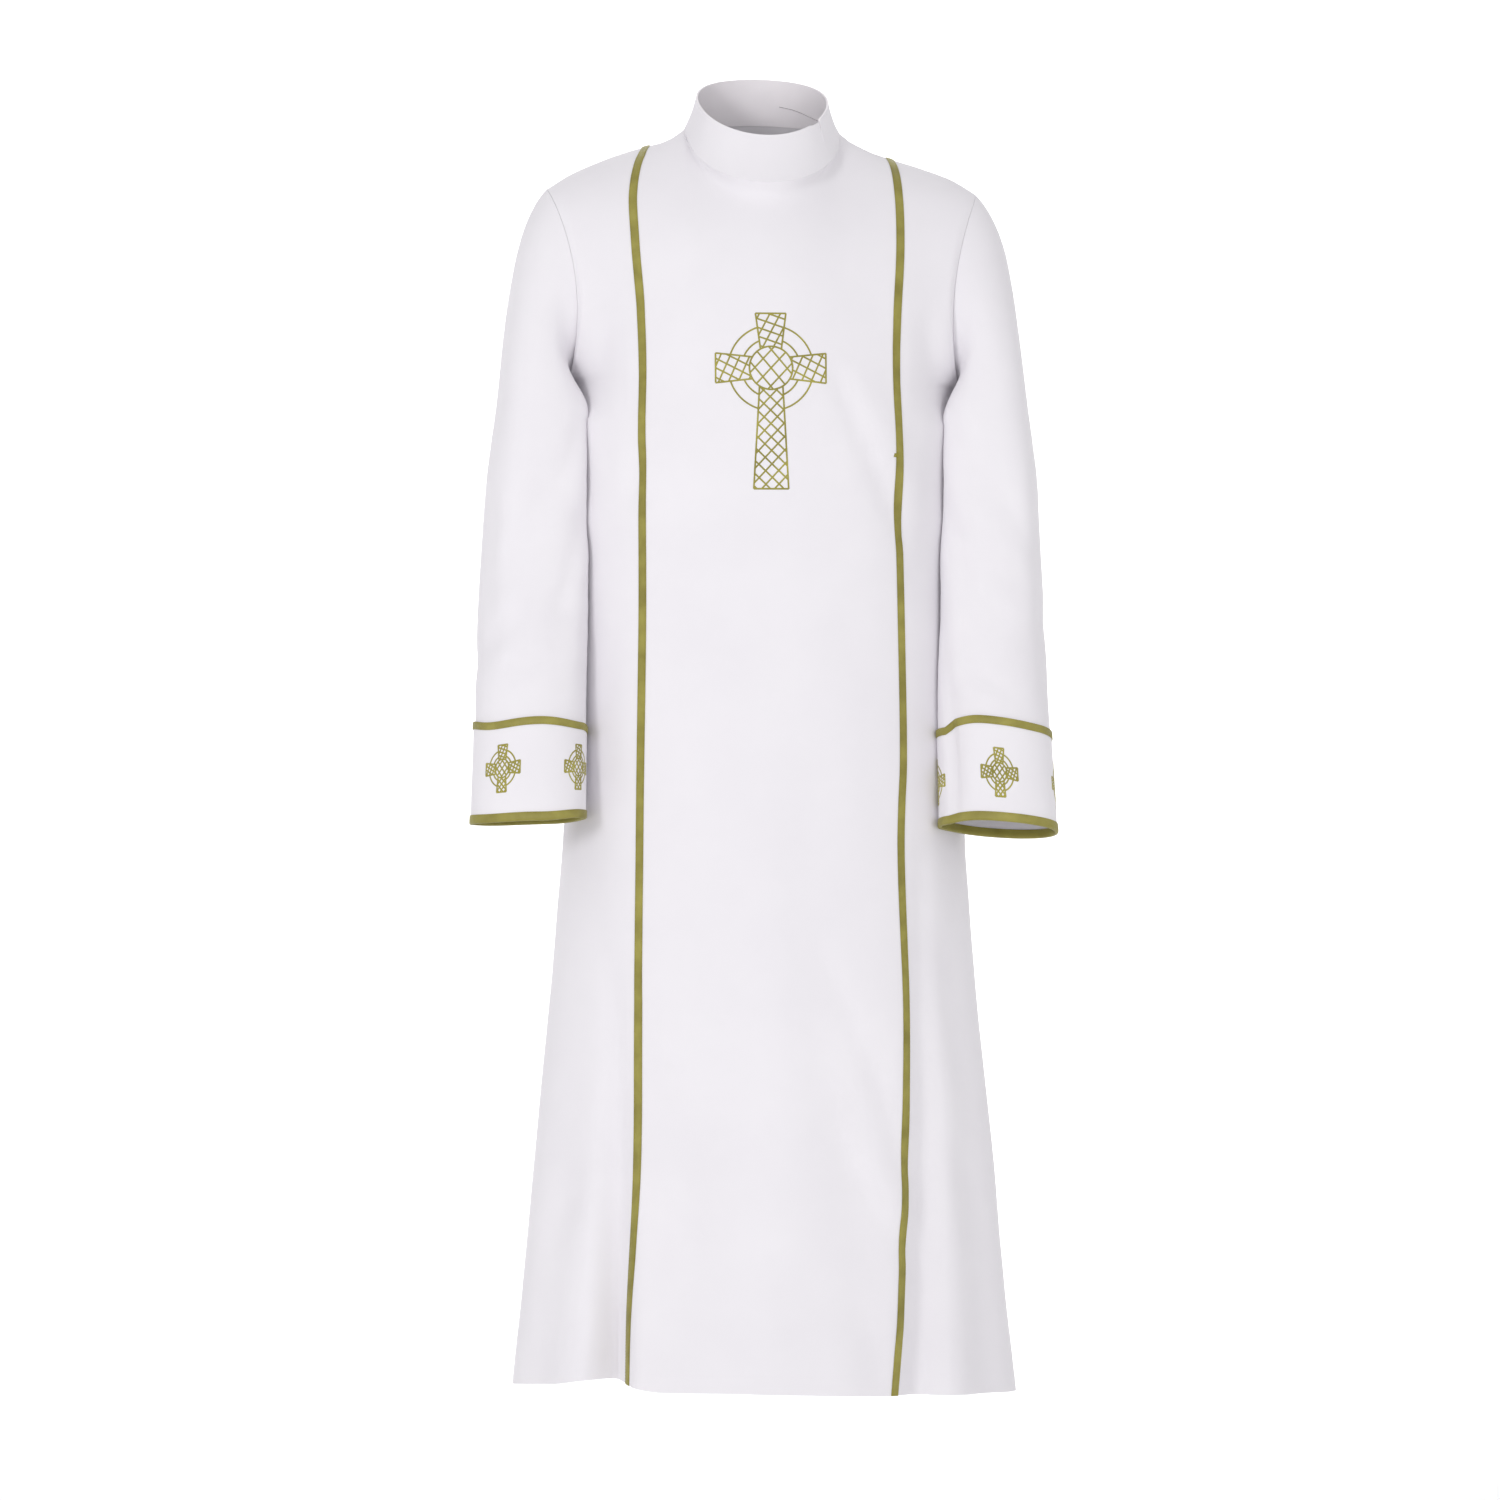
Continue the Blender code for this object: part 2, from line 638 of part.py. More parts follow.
def front_places(side):
    """The columns of the centre front panel from its middle to one ribbon."""
    neck = [NECK_PLACE * i / CENTRE_COLUMNS for i in range(CENTRE_COLUMNS + 1)]
    return [side * place for place in neck + [0.75, 0.87, RIBBON_IN, 1.0]]


def make_fronts(white):
    left, right = front_places(-1), front_places(1)
    panel("front_panel", left[::-1] + right[1:], CLOTH, white)
    for side, name in ((-1, "front_side_right"), (1, "front_side_left")):
        places = [side * place for place in (1.0, RIBBON_OUT) + SIDE_PLACES]
        panel(name, places if side > 0 else places[::-1], CLOTH, white)


def make_back(white):
    neck = [BACK_NECK_PLACE + (4 - BACK_NECK_PLACE) * i / BACK_NECK_COLUMNS for i in range(1, BACK_NECK_COLUMNS + 1)]
    half = [place + 1e-7 if place == 2.0 else place for place in BACK_PLACES] + neck
    panel("back", half + [-place for place in half[-2::-1]], CLOTH, white)


def make_sleeve(side, name, white):
    angles = list(ARMHOLE_ANGLES) + [360 - angle for angle in ARMHOLE_ANGLES[-2:0:-1]]
    cuff = 1 + (CUFF_TOP - BICEP) / (CUFF_END - BICEP)
    runs = [i / CAP_ROWS for i in range(CAP_ROWS)]
    runs += [1 + (cuff - 1) * i / ARM_ROWS for i in range(ARM_ROWS + 1)]
    outer, inner = [], []
    for run in runs:
        ways = [armhole_facing(a, side) if run == 0 else sleeve_facing(a, side, run) for a in angles]
        line = [sleeve(angle, side, run) for angle in angles]
        outer.append(line)
        inner.append([point - way * CLOTH for point, way in zip(line, ways)])
    for grid in (outer, inner):
        grid[0] = [nudged(a, b, GAP / 2) for a, b in zip(grid[0], grid[1])]
        grid[-1] = [nudged(a, b, GAP / 2) for a, b in zip(grid[-1], grid[-2])]
    wall(name, outer, inner, True, white)


def cuff_line(side, share, out):
    """A ring of points on a cuff, from its top, 0, to its end, 1, moved out from the sleeve."""
    angles = list(ARMHOLE_ANGLES) + [360 - angle for angle in ARMHOLE_ANGLES[-2:0:-1]]
    top = 1 + (CUFF_TOP - BICEP) / (CUFF_END - BICEP)
    run = top + (2 - top) * share
    return [
        sleeve(angle, side, run) + sleeve_facing(angle, side, min(run, 1.995)) * out for angle in angles
    ]


def make_cuff(side, hand, white, gold):
    height = abs(CUFF_END - CUFF_TOP)
    shares = [GAP / 2 / height, CUFF_RIBBON / height, 0.5, 1 - BINDING / height, 1.0]
    outer = [cuff_line(side, share, CUFF_STEP) for share in shares]
    inner = [cuff_line(side, share, CUFF_STEP - BAND) for share in shares]
    wall(f"cuff_{hand}", outer, inner, True, white)
    low = CUFF_STEP + GAP
    shares = [GAP / 2 / height, CUFF_RIBBON / height]
    outer = [cuff_line(side, share, low + TRIM) for share in shares]
    inner = [cuff_line(side, share, low) for share in shares]
    wall(f"cuff_ribbon_{hand}", outer, inner, True, gold)
    make_binding(side, hand, gold, height, low)


def make_binding(side, hand, gold, height, low):
    """The ribbon folded round the cuff's end: one leg outside, one inside."""
    leg = 1 - BINDING / height
    inside = CUFF_STEP - BAND - GAP
    profile = (
        (leg, low + TRIM),
        (1.0, low + TRIM),
        (1.0, inside - TRIM),
        (leg, inside - TRIM),
        (leg, inside),
        (1.0, inside),
        (1.0, low),
        (leg, low),
    )
    down = {1: GAP + TRIM, 2: GAP + TRIM, 5: GAP, 6: GAP}
    lines = []
    for index, (share, out) in enumerate(profile):
        line = cuff_line(side, share, out)
        lines.append([point + Vector((0, 0, -down.get(index, 0.0))) for point in line])
    mesh = bpy.data.meshes.new(f"cuff_binding_{hand}")
    grid = bmesh.new()
    rings = [[grid.verts.new(point) for point in line] for line in lines]
    for i in range(len(rings)):
        here, after = rings[i], rings[(i + 1) % len(rings)]
        for j in range(len(here)):
            k = (j + 1) % len(here)
            grid.faces.new((here[j], here[k], after[k], after[j]))
    bmesh.ops.recalc_face_normals(grid, faces=grid.faces)
    grid.to_mesh(mesh)
    grid.free()
    mesh.materials.append(gold)
    robe.objects.link(bpy.data.objects.new(mesh.name, mesh))


def make_ribbon(side, name, gold):
    """A ribbon on a front seam, from the shoulder to the hem."""
    places = [side * place for place in (RIBBON_IN, 1.0, RIBBON_OUT)]
    if side < 0:
        places = places[::-1]
    outer, inner = [], []
    for level in levels():
        spots = [settled(place, level) for place in places]
        line = [body(place, level) for place in spots]
        ways = [seam_facing(place, level) for place in spots]
        outer.append([point + way * (GAP + TRIM) for point, way in zip(line, ways)])
        inner.append([point + way * GAP for point, way in zip(line, ways)])
    for grid in (outer, inner):
        grid[-1] = [nudged(top, under, GAP / 2) for top, under in zip(grid[-1], grid[-2])]
    wall(name, outer, inner, False, gold)


def collar_angles():
    """The columns of the collar, once round from its slit."""
    front = [90 * i / CENTRE_COLUMNS for i in range(CENTRE_COLUMNS + 1)]
    back = [90 + 90 * i / BACK_NECK_COLUMNS for i in range(1, BACK_NECK_COLUMNS + 1)]
    right = [360 - angle for angle in (front + back)[-2::-1]]
    whole = front + back + right
    start = whole.index(COLLAR_SLIT)
    return whole[start:] + [360 + angle for angle in whole[1 : start + 1]]


def signed(angle):
    angle %= 360
    return angle - 360 if angle > 180 else angle


def make_collar(white):
    rises = (0.0, 0.25, 0.5, 0.75, 1.0)
    outer, inner = [], []
    for rise in rises:
        angles = [signed(angle) for angle in collar_angles()]
        ways = [neck_facing(a) if rise == 0 else collar_facing(a, rise) for a in angles]
        line = [collar(angle, rise) for angle in angles]
        outer.append(line)
        inner.append([point - way * BAND for point, way in zip(line, ways)])
    for grid in (outer, inner):
        for line in grid:
            ends = line[0].copy(), line[-1].copy()
            line[0] = nudged(ends[0], line[1], GAP / 2)
            line[-1] = nudged(ends[1], line[-2], GAP / 2)
            line[-1].z -= COLLAR_NICK * rises[grid.index(line)] ** 2
        grid[0] = [nudged(low, above, GAP / 2) for low, above in zip(grid[0], grid[1])]
    wall("collar", outer, inner, False, white)


def build():
    white = cloth_material("white_cloth", WHITE, 0.75)
    gold = cloth_material("gold_ribbon", GOLD, 0.45)
    make_fronts(white)
    make_back(white)
    for side, hand in ((-1, "right"), (1, "left")):
        make_sleeve(side, f"sleeve_{hand}", white)
        make_cuff(side, hand, white, gold)
        make_ribbon(side, f"front_ribbon_{hand}", gold)
    make_collar(white)


for old in list(bpy.data.objects):
    bpy.data.objects.remove(old, do_unlink=True)
robe = bpy.data.collections.new("priest_robe")
bpy.context.scene.collection.children.link(robe)
build()
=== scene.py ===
# %% [markdown]
# # A priest's robe
#
# The robe hangs as if somebody wore it, with nobody inside. It is made of smooth white cloth: a front panel
# between two gold ribbons, two side fronts, a plain back, a standing collar, and set-in sleeves that end in
# banded cuffs. The solids come from model.glb, and this script dresses them. Each cloth piece is a thin
# shell on the surface that its solid was cut from, with the finer creases that a real robe has, and it then
# stands for that solid.

import math
from collections import namedtuple

import bmesh
import bpy
import numpy as np
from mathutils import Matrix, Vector, noise
from mathutils.bvhtree import BVHTree


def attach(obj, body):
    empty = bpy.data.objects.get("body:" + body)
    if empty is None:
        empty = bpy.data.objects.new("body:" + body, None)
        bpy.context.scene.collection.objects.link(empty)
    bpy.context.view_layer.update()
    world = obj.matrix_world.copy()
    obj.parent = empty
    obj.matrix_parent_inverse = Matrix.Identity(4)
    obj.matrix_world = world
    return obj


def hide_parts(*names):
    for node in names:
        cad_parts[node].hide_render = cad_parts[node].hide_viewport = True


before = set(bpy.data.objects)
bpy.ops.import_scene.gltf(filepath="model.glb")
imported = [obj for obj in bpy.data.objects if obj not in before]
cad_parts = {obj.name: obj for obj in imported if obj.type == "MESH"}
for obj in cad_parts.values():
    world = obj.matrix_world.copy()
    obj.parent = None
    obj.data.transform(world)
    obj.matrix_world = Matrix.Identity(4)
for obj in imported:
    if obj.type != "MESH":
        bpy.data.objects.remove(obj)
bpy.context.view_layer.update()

# %% [markdown]
# ## The camera
#
# A catalogue picture of a garment is taken from far off with a long lens, level with the
# garment's middle, so that the hem and the collar are seen straight on. The robe is turned a
# little: its front looks slightly to the picture's right.

# %% Set up the camera
DISTANCE = 6.5
FIELD = 1.575
SENSOR = 36
AIM_HEIGHT = -0.6405
AIM_ASIDE = -0.0126
TURN = math.radians(-3.5)

bpy.ops.object.select_all(action="DESELECT")
back_off = Vector((math.sin(TURN), -math.cos(TURN), 0))
aside = Vector((math.cos(TURN), math.sin(TURN), 0))
spot = Vector((0, 0, AIM_HEIGHT)) + aside * AIM_ASIDE + back_off * DISTANCE
bpy.ops.object.camera_add(location=spot, rotation=(math.pi / 2, 0, TURN))
camera = bpy.context.object
camera.data.sensor_width = SENSOR
camera.data.lens = SENSOR * DISTANCE / FIELD
bpy.context.scene.camera = camera
print("camera", [round(v, 3) for v in camera.location], "lens", round(camera.data.lens, 1))

# %% [markdown]
# ## The surfaces of the cloth
#
# The robe is three surfaces, each a function of two numbers: the body, the sleeves with their
# cuffs, and the collar. The tables below are the garment's own measures, the same as those its
# solids were cut from, so every sheet made here lies on its solid.

# %% Measures of the body
def table(name, fields, *rows):
    """Rows of measures, with a name for each value."""
    kind = namedtuple(name, fields)
    return tuple(kind(*row) for row in rows)


# Horizontal sections from the hem to the chest. The panel is the half width of the centre front
# panel there, the sway is how far that panel hangs to the wearer's left, and the flare is what
# the section is wider by on that side.
SECTIONS = table(
    "Section", "height half_width front back roundness panel sway flare",
    (-1.310, 0.262, 0.160, 0.166, 2.3, 0.1385, -0.010, 0.0062),
    (-1.200, 0.251, 0.155, 0.160, 2.3, 0.1385, -0.004, 0.0050),
    (-1.060, 0.238, 0.150, 0.153, 2.3, 0.1385, 0.002, 0.0044),
    (-0.900, 0.2215, 0.146, 0.146, 2.3, 0.1380, 0.002, 0.0040),
    (-0.740, 0.2085, 0.142, 0.141, 2.3, 0.1365, 0.002, 0.0040),
    (-0.590, 0.1985, 0.138, 0.132, 2.3, 0.1345, 0.001, 0.0020),
    (-0.440, 0.1950, 0.136, 0.120, 2.3, 0.1330, -0.001, 0.0),
    (-0.300, 0.2000, 0.136, 0.124, 2.3, 0.1325, -0.002, 0.0),
)
HEM = SECTIONS[0].height
CHEST = SECTIONS[-1].height

# The ribbon seams' own wander: how far each is shifted to the wearer's left.
DRIFTS = table(
    "Drift", "height right left",
    (0.000, 0.0072, 0.0070), (-0.040, -0.0032, 0.0108), (-0.085, -0.0085, 0.0115),
    (-0.130, -0.0060, 0.0095), (-0.200, 0.0002, 0.0040), (-0.280, 0.0025, 0.0025),
    (-0.480, 0.0032, 0.0032), (-0.650, 0.0014, 0.0018), (-0.740, 0.0012, -0.0025),
    (-0.900, 0.0010, 0.0010), (-1.060, 0.0005, -0.0010), (-1.220, -0.0030, 0.0002),
    (-1.310, -0.0022, -0.0005),
)
SIDE_SPAN = 0.095

# The hem's rise round the robe, by the same places as the folds below.
RISES = table(
    "Rise", "place height",
    (-4.0, 0.000), (-2.2, 0.000), (-1.8, 0.006), (-1.4, 0.012), (-1.12, 0.019), (-0.96, 0.013),
    (-0.75, 0.009), (0.0, 0.009), (1.0, 0.006), (1.5, 0.004), (2.2, 0.000), (4.0, 0.000),
)

# Folds of the body, each a trough (or a ridge, where its depth is negative). A place is counted
# round the robe: 0 is the middle of the front, 1 the ribbon, 2 the side seam and 4 the middle of
# the back, with a minus sign on the wearer's right.
FOLDS = table(
    "Fold", "place shift width depth top power",
    (-1.095, -0.060, 0.062, 0.036, -0.80, 1.6), (1.130, 0.010, 0.070, 0.022, -0.62, 1.4),
    (-1.58, 0.16, 0.13, 0.011, -0.66, 1.2), (1.56, -0.16, 0.13, 0.011, -0.62, 1.2),
    (0.93, -0.85, 0.13, 0.007, -0.74, 0.8), (-0.42, 0.05, 0.20, 0.006, -0.50, 1.0),
    (0.05, 0.00, 0.16, -0.004, -0.40, 0.8), (-2.42, 0.00, 0.13, 0.017, -0.60, 1.2),
    (2.38, 0.05, 0.14, 0.018, -0.55, 1.2), (-3.05, 0.06, 0.15, 0.020, -0.50, 1.2),
    (2.97, -0.05, 0.14, 0.018, -0.58, 1.2), (-3.62, 0.05, 0.13, 0.017, -0.45, 1.2),
    (3.55, -0.05, 0.15, 0.021, -0.52, 1.2),
)
print("sections:", len(SECTIONS), "folds:", len(FOLDS))

# %% Measures of the shoulders, the neck and the armholes
# Shoulder seam, from the neck out to the sleeve: how far out, and how high.
SHOULDER = table(
    "Spot", "out height",
    (0.0820, 0.0105), (0.1000, -0.0025), (0.1276, -0.0120),
    (0.1650, -0.0245), (0.2000, -0.0395), (0.2260, -0.0560),
)
RIBBON_TOP = SHOULDER[2].out
SEAM_BACK = 0.010
NECK_SEAM_BACK = 0.005

# How stiffly a column of cloth leaves the chest and arrives at its upper edge, as shares of its
# length, and how steeply it arrives at the neck and at the shoulder's tip, in degrees.
LEAVE, ARRIVE = 0.95, 0.90
FRONT_LIFT = dict(neck=62, tip=18)
BACK_LIFT = dict(neck=66, tip=16)

# Armhole: its lowest point, how far it reaches forward and back of the shoulder seam, and how far
# its front and back curve in towards the chest.
ARMPIT = Vector((0.2050, 0.006, -0.262))
ARMHOLE_FRONT, ARMHOLE_BACK = 0.070, 0.078
SCOOP_FRONT, SCOOP_BACK = 0.018, 0.009
ARMHOLE_ANGLES = (180, 160, 142, 126, 111, 96, 81, 66, 51, 35, 18, 0)

# Where the neck begins on the front's and the back's upper edge, and the level of the armpit.
NECK_PLACE = 0.62
BACK_NECK_PLACE = 3.05
ARMPIT_LEVEL = 1.135

# Neckline and the collar's rim: half width, front and back edge, and the height at each of them.
NECK = dict(half=0.082, front=-0.097, back=0.072, low=-0.053, side=0.0105, high=0.022)
RIM = dict(half=0.0693, front=-0.075, back=0.060, low=-0.002, side=0.0425, high=0.070)
COLLAR_DIP = 0.0015
COLLAR_SLIT = 56.25
COLLAR_NICK = 0.0030

# The robe hangs a little lower on the wearer's left. Each row is a distance to that side and the
# drop there, at the shoulders and from the waist down.
LEANS = table(
    "Lean", "out top low",
    (-0.30, -0.0055, -0.0042), (-0.20, -0.0032, -0.0028), (-0.13, -0.0034, -0.0018),
    (-0.08, -0.0002, -0.0011), (0.00, 0.0000, 0.0000), (0.13, 0.0042, 0.0018),
    (0.17, 0.0028, 0.0024), (0.21, 0.0002, 0.0029), (0.30, 0.0000, 0.0042),
)
WAIST, WAIST_TO_SHOULDER = -0.40, 0.35

# %% Measures of the sleeves and the cuffs
# Sleeve: level sections from the bicep to the cuff's end.
RINGS = table(
    "Ring", "height inner outer middle depth roundness",
    (-0.300, 0.1760, 0.2805, -0.006, 0.078, 2.7),
    (-0.370, 0.1750, 0.2880, -0.012, 0.076, 2.6),
    (-0.450, 0.1760, 0.2945, -0.024, 0.069, 2.4),
    (-0.530, 0.1800, 0.2985, -0.044, 0.060, 2.3),
    (-0.6150, 0.1855, 0.3005, -0.070, 0.050, 2.2),
    (-0.7190, 0.1880, 0.3045, -0.094, 0.043, 2.2),
)
BICEP, CUFF_TOP, CUFF_END = RINGS[0].height, RINGS[-2].height, RINGS[-1].height
CUFF_RUN = 1 + (CUFF_TOP - BICEP) / (CUFF_END - BICEP)
CUFF_TILT = {-1: 0.07, 1: 0.20}
CUFF_SLANT = {-1: 0.02, 1: 0.06}
CUFF_SWING = {-1: 0.0015, 1: -0.0045}
CUFF_STEP = 0.0014
TILT_TOP = BICEP - 0.06
ARM_CLEAR = 0.0036
ARM_EASE = 0.0030

# Folds of a sleeve: the angle round it from the outer side over the front, and heights.
CREASES = table(
    "Crease", "side angle swing width depth height reach",
    (-1, 60, 90, 22, 0.0040, -0.520, 0.060), (-1, 130, -80, 20, 0.0035, -0.400, 0.070),
    (-1, 30, 20, 26, -0.0030, -0.330, 0.120), (-1, 250, 60, 24, 0.0045, -0.480, 0.080),
    (1, 70, -80, 22, 0.0040, -0.540, 0.060), (1, 120, 70, 20, 0.0035, -0.420, 0.070),
    (1, 40, -20, 26, -0.0030, -0.340, 0.120), (1, 260, -60, 24, 0.0045, -0.470, 0.080),
    (1, 150, 0, 15, 0.0060, -0.670, 0.090),
)

# The cuffs' edges are not quite level: at each angle, how far the upper and the lower edge rise
# and how far the cloth folds in towards the body, in millimetres.
WAVES = {
    -1: table("Wave", "angle top low inward",
              (0, 0.5, -0.5, 0), (46, -3.0, -1.0, 0), (98, 2.2, 0.5, 0), (150, -2.5, 4.5, 0),
              (180, -6.0, 5.0, 0), (250, 0.0, 2.0, 0), (320, 1.0, 0.0, 0)),
    1: table("Wave", "angle top low inward",
             (0, -1.5, 0.0, 0), (50, -1.0, 0.0, 0), (112, 2.5, 0.5, 0), (143, 0.0, 0.0, 0.5),
             (151, -7.5, -2.0, 6.5), (180, -8.0, -2.0, 5.0), (235, -2.0, 0.0, 0), (300, 0.5, 0.0, 0)),
}
WAVE_START = 1.45

# Ribbons, the columns of the back and the levels of the skirt.
RIBBON_WIDTH = 0.0086
RIBBON_SPREAD = {-1: 0.42, 1: 0.22}
CUFF_RIBBON = 0.0080
BINDING = 0.0080
BACK_PLACES = (2.0, 2.11, 2.24, 2.37, 2.50, 2.64, 2.78, 2.92, 3.05)
HEM_LEVELS = 17
print("sleeve sections:", len(RINGS), "folds:", len(CREASES))

# %% [markdown]
# A row of a table gives the shape at one height. Between rows the shape follows a smooth curve.
# The same Hermite curve carries a column of cloth from the chest up over the shoulder, and a
# sleeve from its armhole down to the bicep.

# %% Curves through the tables
def clamp(x):
    return min(1.0, max(0.0, x))


def smooth(x):
    x = clamp(x)
    return x * x * (3 - 2 * x)


def along(rows, at):
    """The row of a table at a height or distance, on a smooth curve through its rows."""
    keys = [row[0] for row in rows]
    sign = 1 if keys[-1] > keys[0] else -1
    i = 0
    while i < len(rows) - 2 and sign * at > sign * keys[i + 1]:
        i += 1
    span = keys[i + 1] - keys[i]
    t = clamp((at - keys[i]) / span)
    found = [at]
    for column in range(1, len(rows[0])):
        values = [row[column] for row in rows]

        def slope(k):
            if k in (0, len(rows) - 1):
                near = (0, 1) if k == 0 else (-2, -1)
                return (values[near[1]] - values[near[0]]) / (keys[near[1]] - keys[near[0]])
            return (values[k + 1] - values[k - 1]) / (keys[k + 1] - keys[k - 1])

        found.append(hermite(t, values[i], slope(i) * span, values[i + 1], slope(i + 1) * span))
    return type(rows[0])(*found)


def hermite(t, start, leave, end, arrive):
    """A curve from start to end that leaves and arrives with the given velocities."""
    return (
        start * (2 * t**3 - 3 * t**2 + 1)
        + leave * (t**3 - 2 * t**2 + t)
        + end * (3 * t**2 - 2 * t**3)
        + arrive * (t**3 - t**2)
    )


def lean(point):
    """The point, lowered as the robe's lean has it there."""
    share = smooth((point.z - WAIST) / WAIST_TO_SHOULDER)
    drop = along(LEANS, point.x)
    return Vector((point.x, point.y, point.z - drop.low - (drop.top - drop.low) * share))


print("hem:", round(HEM, 3), "chest:", round(CHEST, 3))

# %% The body up to the chest
def turn(place, section):
    """The angle of a place round a section, from the middle of the front to that of the back."""
    if place <= 1:
        return math.asin((place * section.panel / section.half_width) ** (section.roundness / 2))
    ribbon = math.asin((section.panel / section.half_width) ** (section.roundness / 2))
    if place <= 2:
        return ribbon + (place - 1) * (math.pi / 2 - ribbon)
    return math.pi / 2 + (place - 2) * math.pi / 4


def ring_point(place, side, section):
    angle = turn(place, section)
    bend = 2 / section.roundness
    reach = abs(math.cos(angle)) ** bend
    x = section.half_width * math.sin(angle) ** bend if place < 4 else 0.0
    y = -section.front * reach if place <= 2 else section.back * reach
    if side > 0:
        x += section.flare * math.sin(angle) ** 3
    sway = section.sway * max(0.0, math.cos(angle))
    return Vector((side * x + sway, y, section.height))


def fold_depth(place, side, height):
    """How far the folds press the cloth in, at a place and a height."""
    depth = 0.0
    for fold in FOLDS:
        share = clamp((fold.top - height) / (fold.top - HEM))
        middle = fold.place + fold.shift * (1 - share)
        away = side * place - middle
        if abs(away) > 4:
            away = 8 - abs(away)
        depth += fold.depth * share**fold.power * math.exp(-0.5 * (away / fold.width) ** 2)
    return depth


def ring_place(place, side, height):
    """A point of the body below the chest, with its folds."""
    section = along(SECTIONS, height)
    here = ring_point(place, side, section)
    near, far = max(place - 0.02, 0.0), min(place + 0.02, 4.0)
    run = ring_point(far, side, section) - ring_point(near, side, section)
    outward = Vector((run.y, -run.x, 0)).normalized() * side
    return here - outward * fold_depth(place, side, height)


print("a fold is up to", round(max(fold.depth for fold in FOLDS) * 1000), "mm deep")

# %% The edges of the front and the back
def neckline(angle):
    """The neck seam, 0 degrees in front and 180 behind."""
    turned = math.radians(angle)
    front = math.cos(turned) > 0
    reach = abs(math.cos(turned))
    middle = NECK_SEAM_BACK
    y = middle + (NECK["front"] - middle if front else NECK["back"] - middle) * reach
    z = NECK["side"] + (NECK["low"] - NECK["side"] if front else NECK["high"] - NECK["side"]) * reach
    return Vector((NECK["half"] * math.sin(turned), y, z))


def shoulder(out):
    share = (out - SHOULDER[0].out) / (SHOULDER[-1].out - SHOULDER[0].out)
    return Vector((out, NECK_SEAM_BACK + (SEAM_BACK - NECK_SEAM_BACK) * share, along(SHOULDER, out).height))


def top_edge(place):
    """The upper edge of the front or back: the neckline, then the shoulder seam."""
    neck, tip = SHOULDER[0].out, SHOULDER[-1].out
    if place <= NECK_PLACE:
        return neckline(90 * place / NECK_PLACE)
    if place <= 1:
        return shoulder(neck + (RIBBON_TOP - neck) * (place - NECK_PLACE) / (1 - NECK_PLACE))
    if place <= 2:
        return shoulder(RIBBON_TOP + (tip - RIBBON_TOP) * (place - 1))
    if place <= BACK_NECK_PLACE:
        return shoulder(tip + (neck - tip) * (place - 2) / (BACK_NECK_PLACE - 2))
    return neckline(90 + 90 * (place - BACK_NECK_PLACE) / (4 - BACK_NECK_PLACE))


def top_slope(place):
    """The direction in which the cloth arrives at its upper edge."""
    if place <= 2:
        share = smooth(place / (NECK_PLACE + 0.12))
        lift = math.radians(FRONT_LIFT["neck"] + (FRONT_LIFT["tip"] - FRONT_LIFT["neck"]) * share)
        return Vector((0, math.cos(lift), math.sin(lift)))
    share = smooth((place - BACK_NECK_PLACE + 0.10) / (4.10 - BACK_NECK_PLACE))
    lift = math.radians(BACK_LIFT["tip"] + (BACK_LIFT["neck"] - BACK_LIFT["tip"]) * share)
    return Vector((0, -math.cos(lift), math.sin(lift)))


def armhole(angle):
    """The armhole seam, 0 degrees at the shoulder, 90 in front and 180 at the armpit."""
    turned = math.radians(angle)
    tip = shoulder(SHOULDER[-1].out)
    rise = (1 + math.cos(turned)) / 2
    forward = math.sin(turned)
    reach = ARMHOLE_FRONT if forward > 0 else ARMHOLE_BACK
    scoop = SCOOP_FRONT if forward > 0 else SCOOP_BACK
    x = ARMPIT.x + (tip.x - ARMPIT.x) * rise - scoop * forward**2
    y = ARMPIT.y + (tip.y - ARMPIT.y) * rise - reach * forward
    return Vector((x, y, ARMPIT.z + (tip.z - ARMPIT.z) * rise))


def armhole_angle(level):
    """The armhole's angle at a level above the armpit."""
    share = (level - ARMPIT_LEVEL) / (2 - ARMPIT_LEVEL)
    steps = share * (len(ARMHOLE_ANGLES) - 1)
    i = min(int(steps), len(ARMHOLE_ANGLES) - 2)
    return ARMHOLE_ANGLES[i] + (ARMHOLE_ANGLES[i + 1] - ARMHOLE_ANGLES[i]) * (steps - i)


def side_edge(level, front):
    """The side edge of the front or back above the chest: the side seam, then the armhole."""
    foot = ring_place(2.0, 1, CHEST)
    if level <= ARMPIT_LEVEL:
        t = (level - 1) / (ARMPIT_LEVEL - 1)
        return hermite(t, foot, Vector((0, 0, 0.038)), ARMPIT, Vector((0.012, 0, 0.016)))
    angle = armhole_angle(level)
    return armhole(angle if front else 360 - angle)


print("the armhole's top:", [round(v, 3) for v in armhole(0)])

# %% The whole body
def column(place, side, level):
    """A point of a column of cloth that rises from the chest to the upper edge."""
    foot, top = ring_place(place, side, CHEST), top_edge(place)
    top.x *= side
    length = (top - foot).length
    arrive = ARRIVE
    if place > 2:
        arrive += 0.22 * smooth((place - 2.2) / 0.8) - 0.34 * smooth(place - 3)
    return hermite(level - 1, foot, Vector((0, 0, LEAVE * length)), top, top_slope(place) * arrive * length)


def drifted(place, side, height):
    """A place of the front, moved with the wander of the ribbon seam on its side."""
    if not NECK_PLACE < place < 2:
        return place
    drift = along(DRIFTS, height)
    move = side * (drift.left if side > 0 else drift.right)
    share = smooth((place - NECK_PLACE) / (1 - NECK_PLACE) if place <= 1 else 2 - place)
    return place + move / (SECTIONS[0].panel if move < 0 else SIDE_SPAN) * share


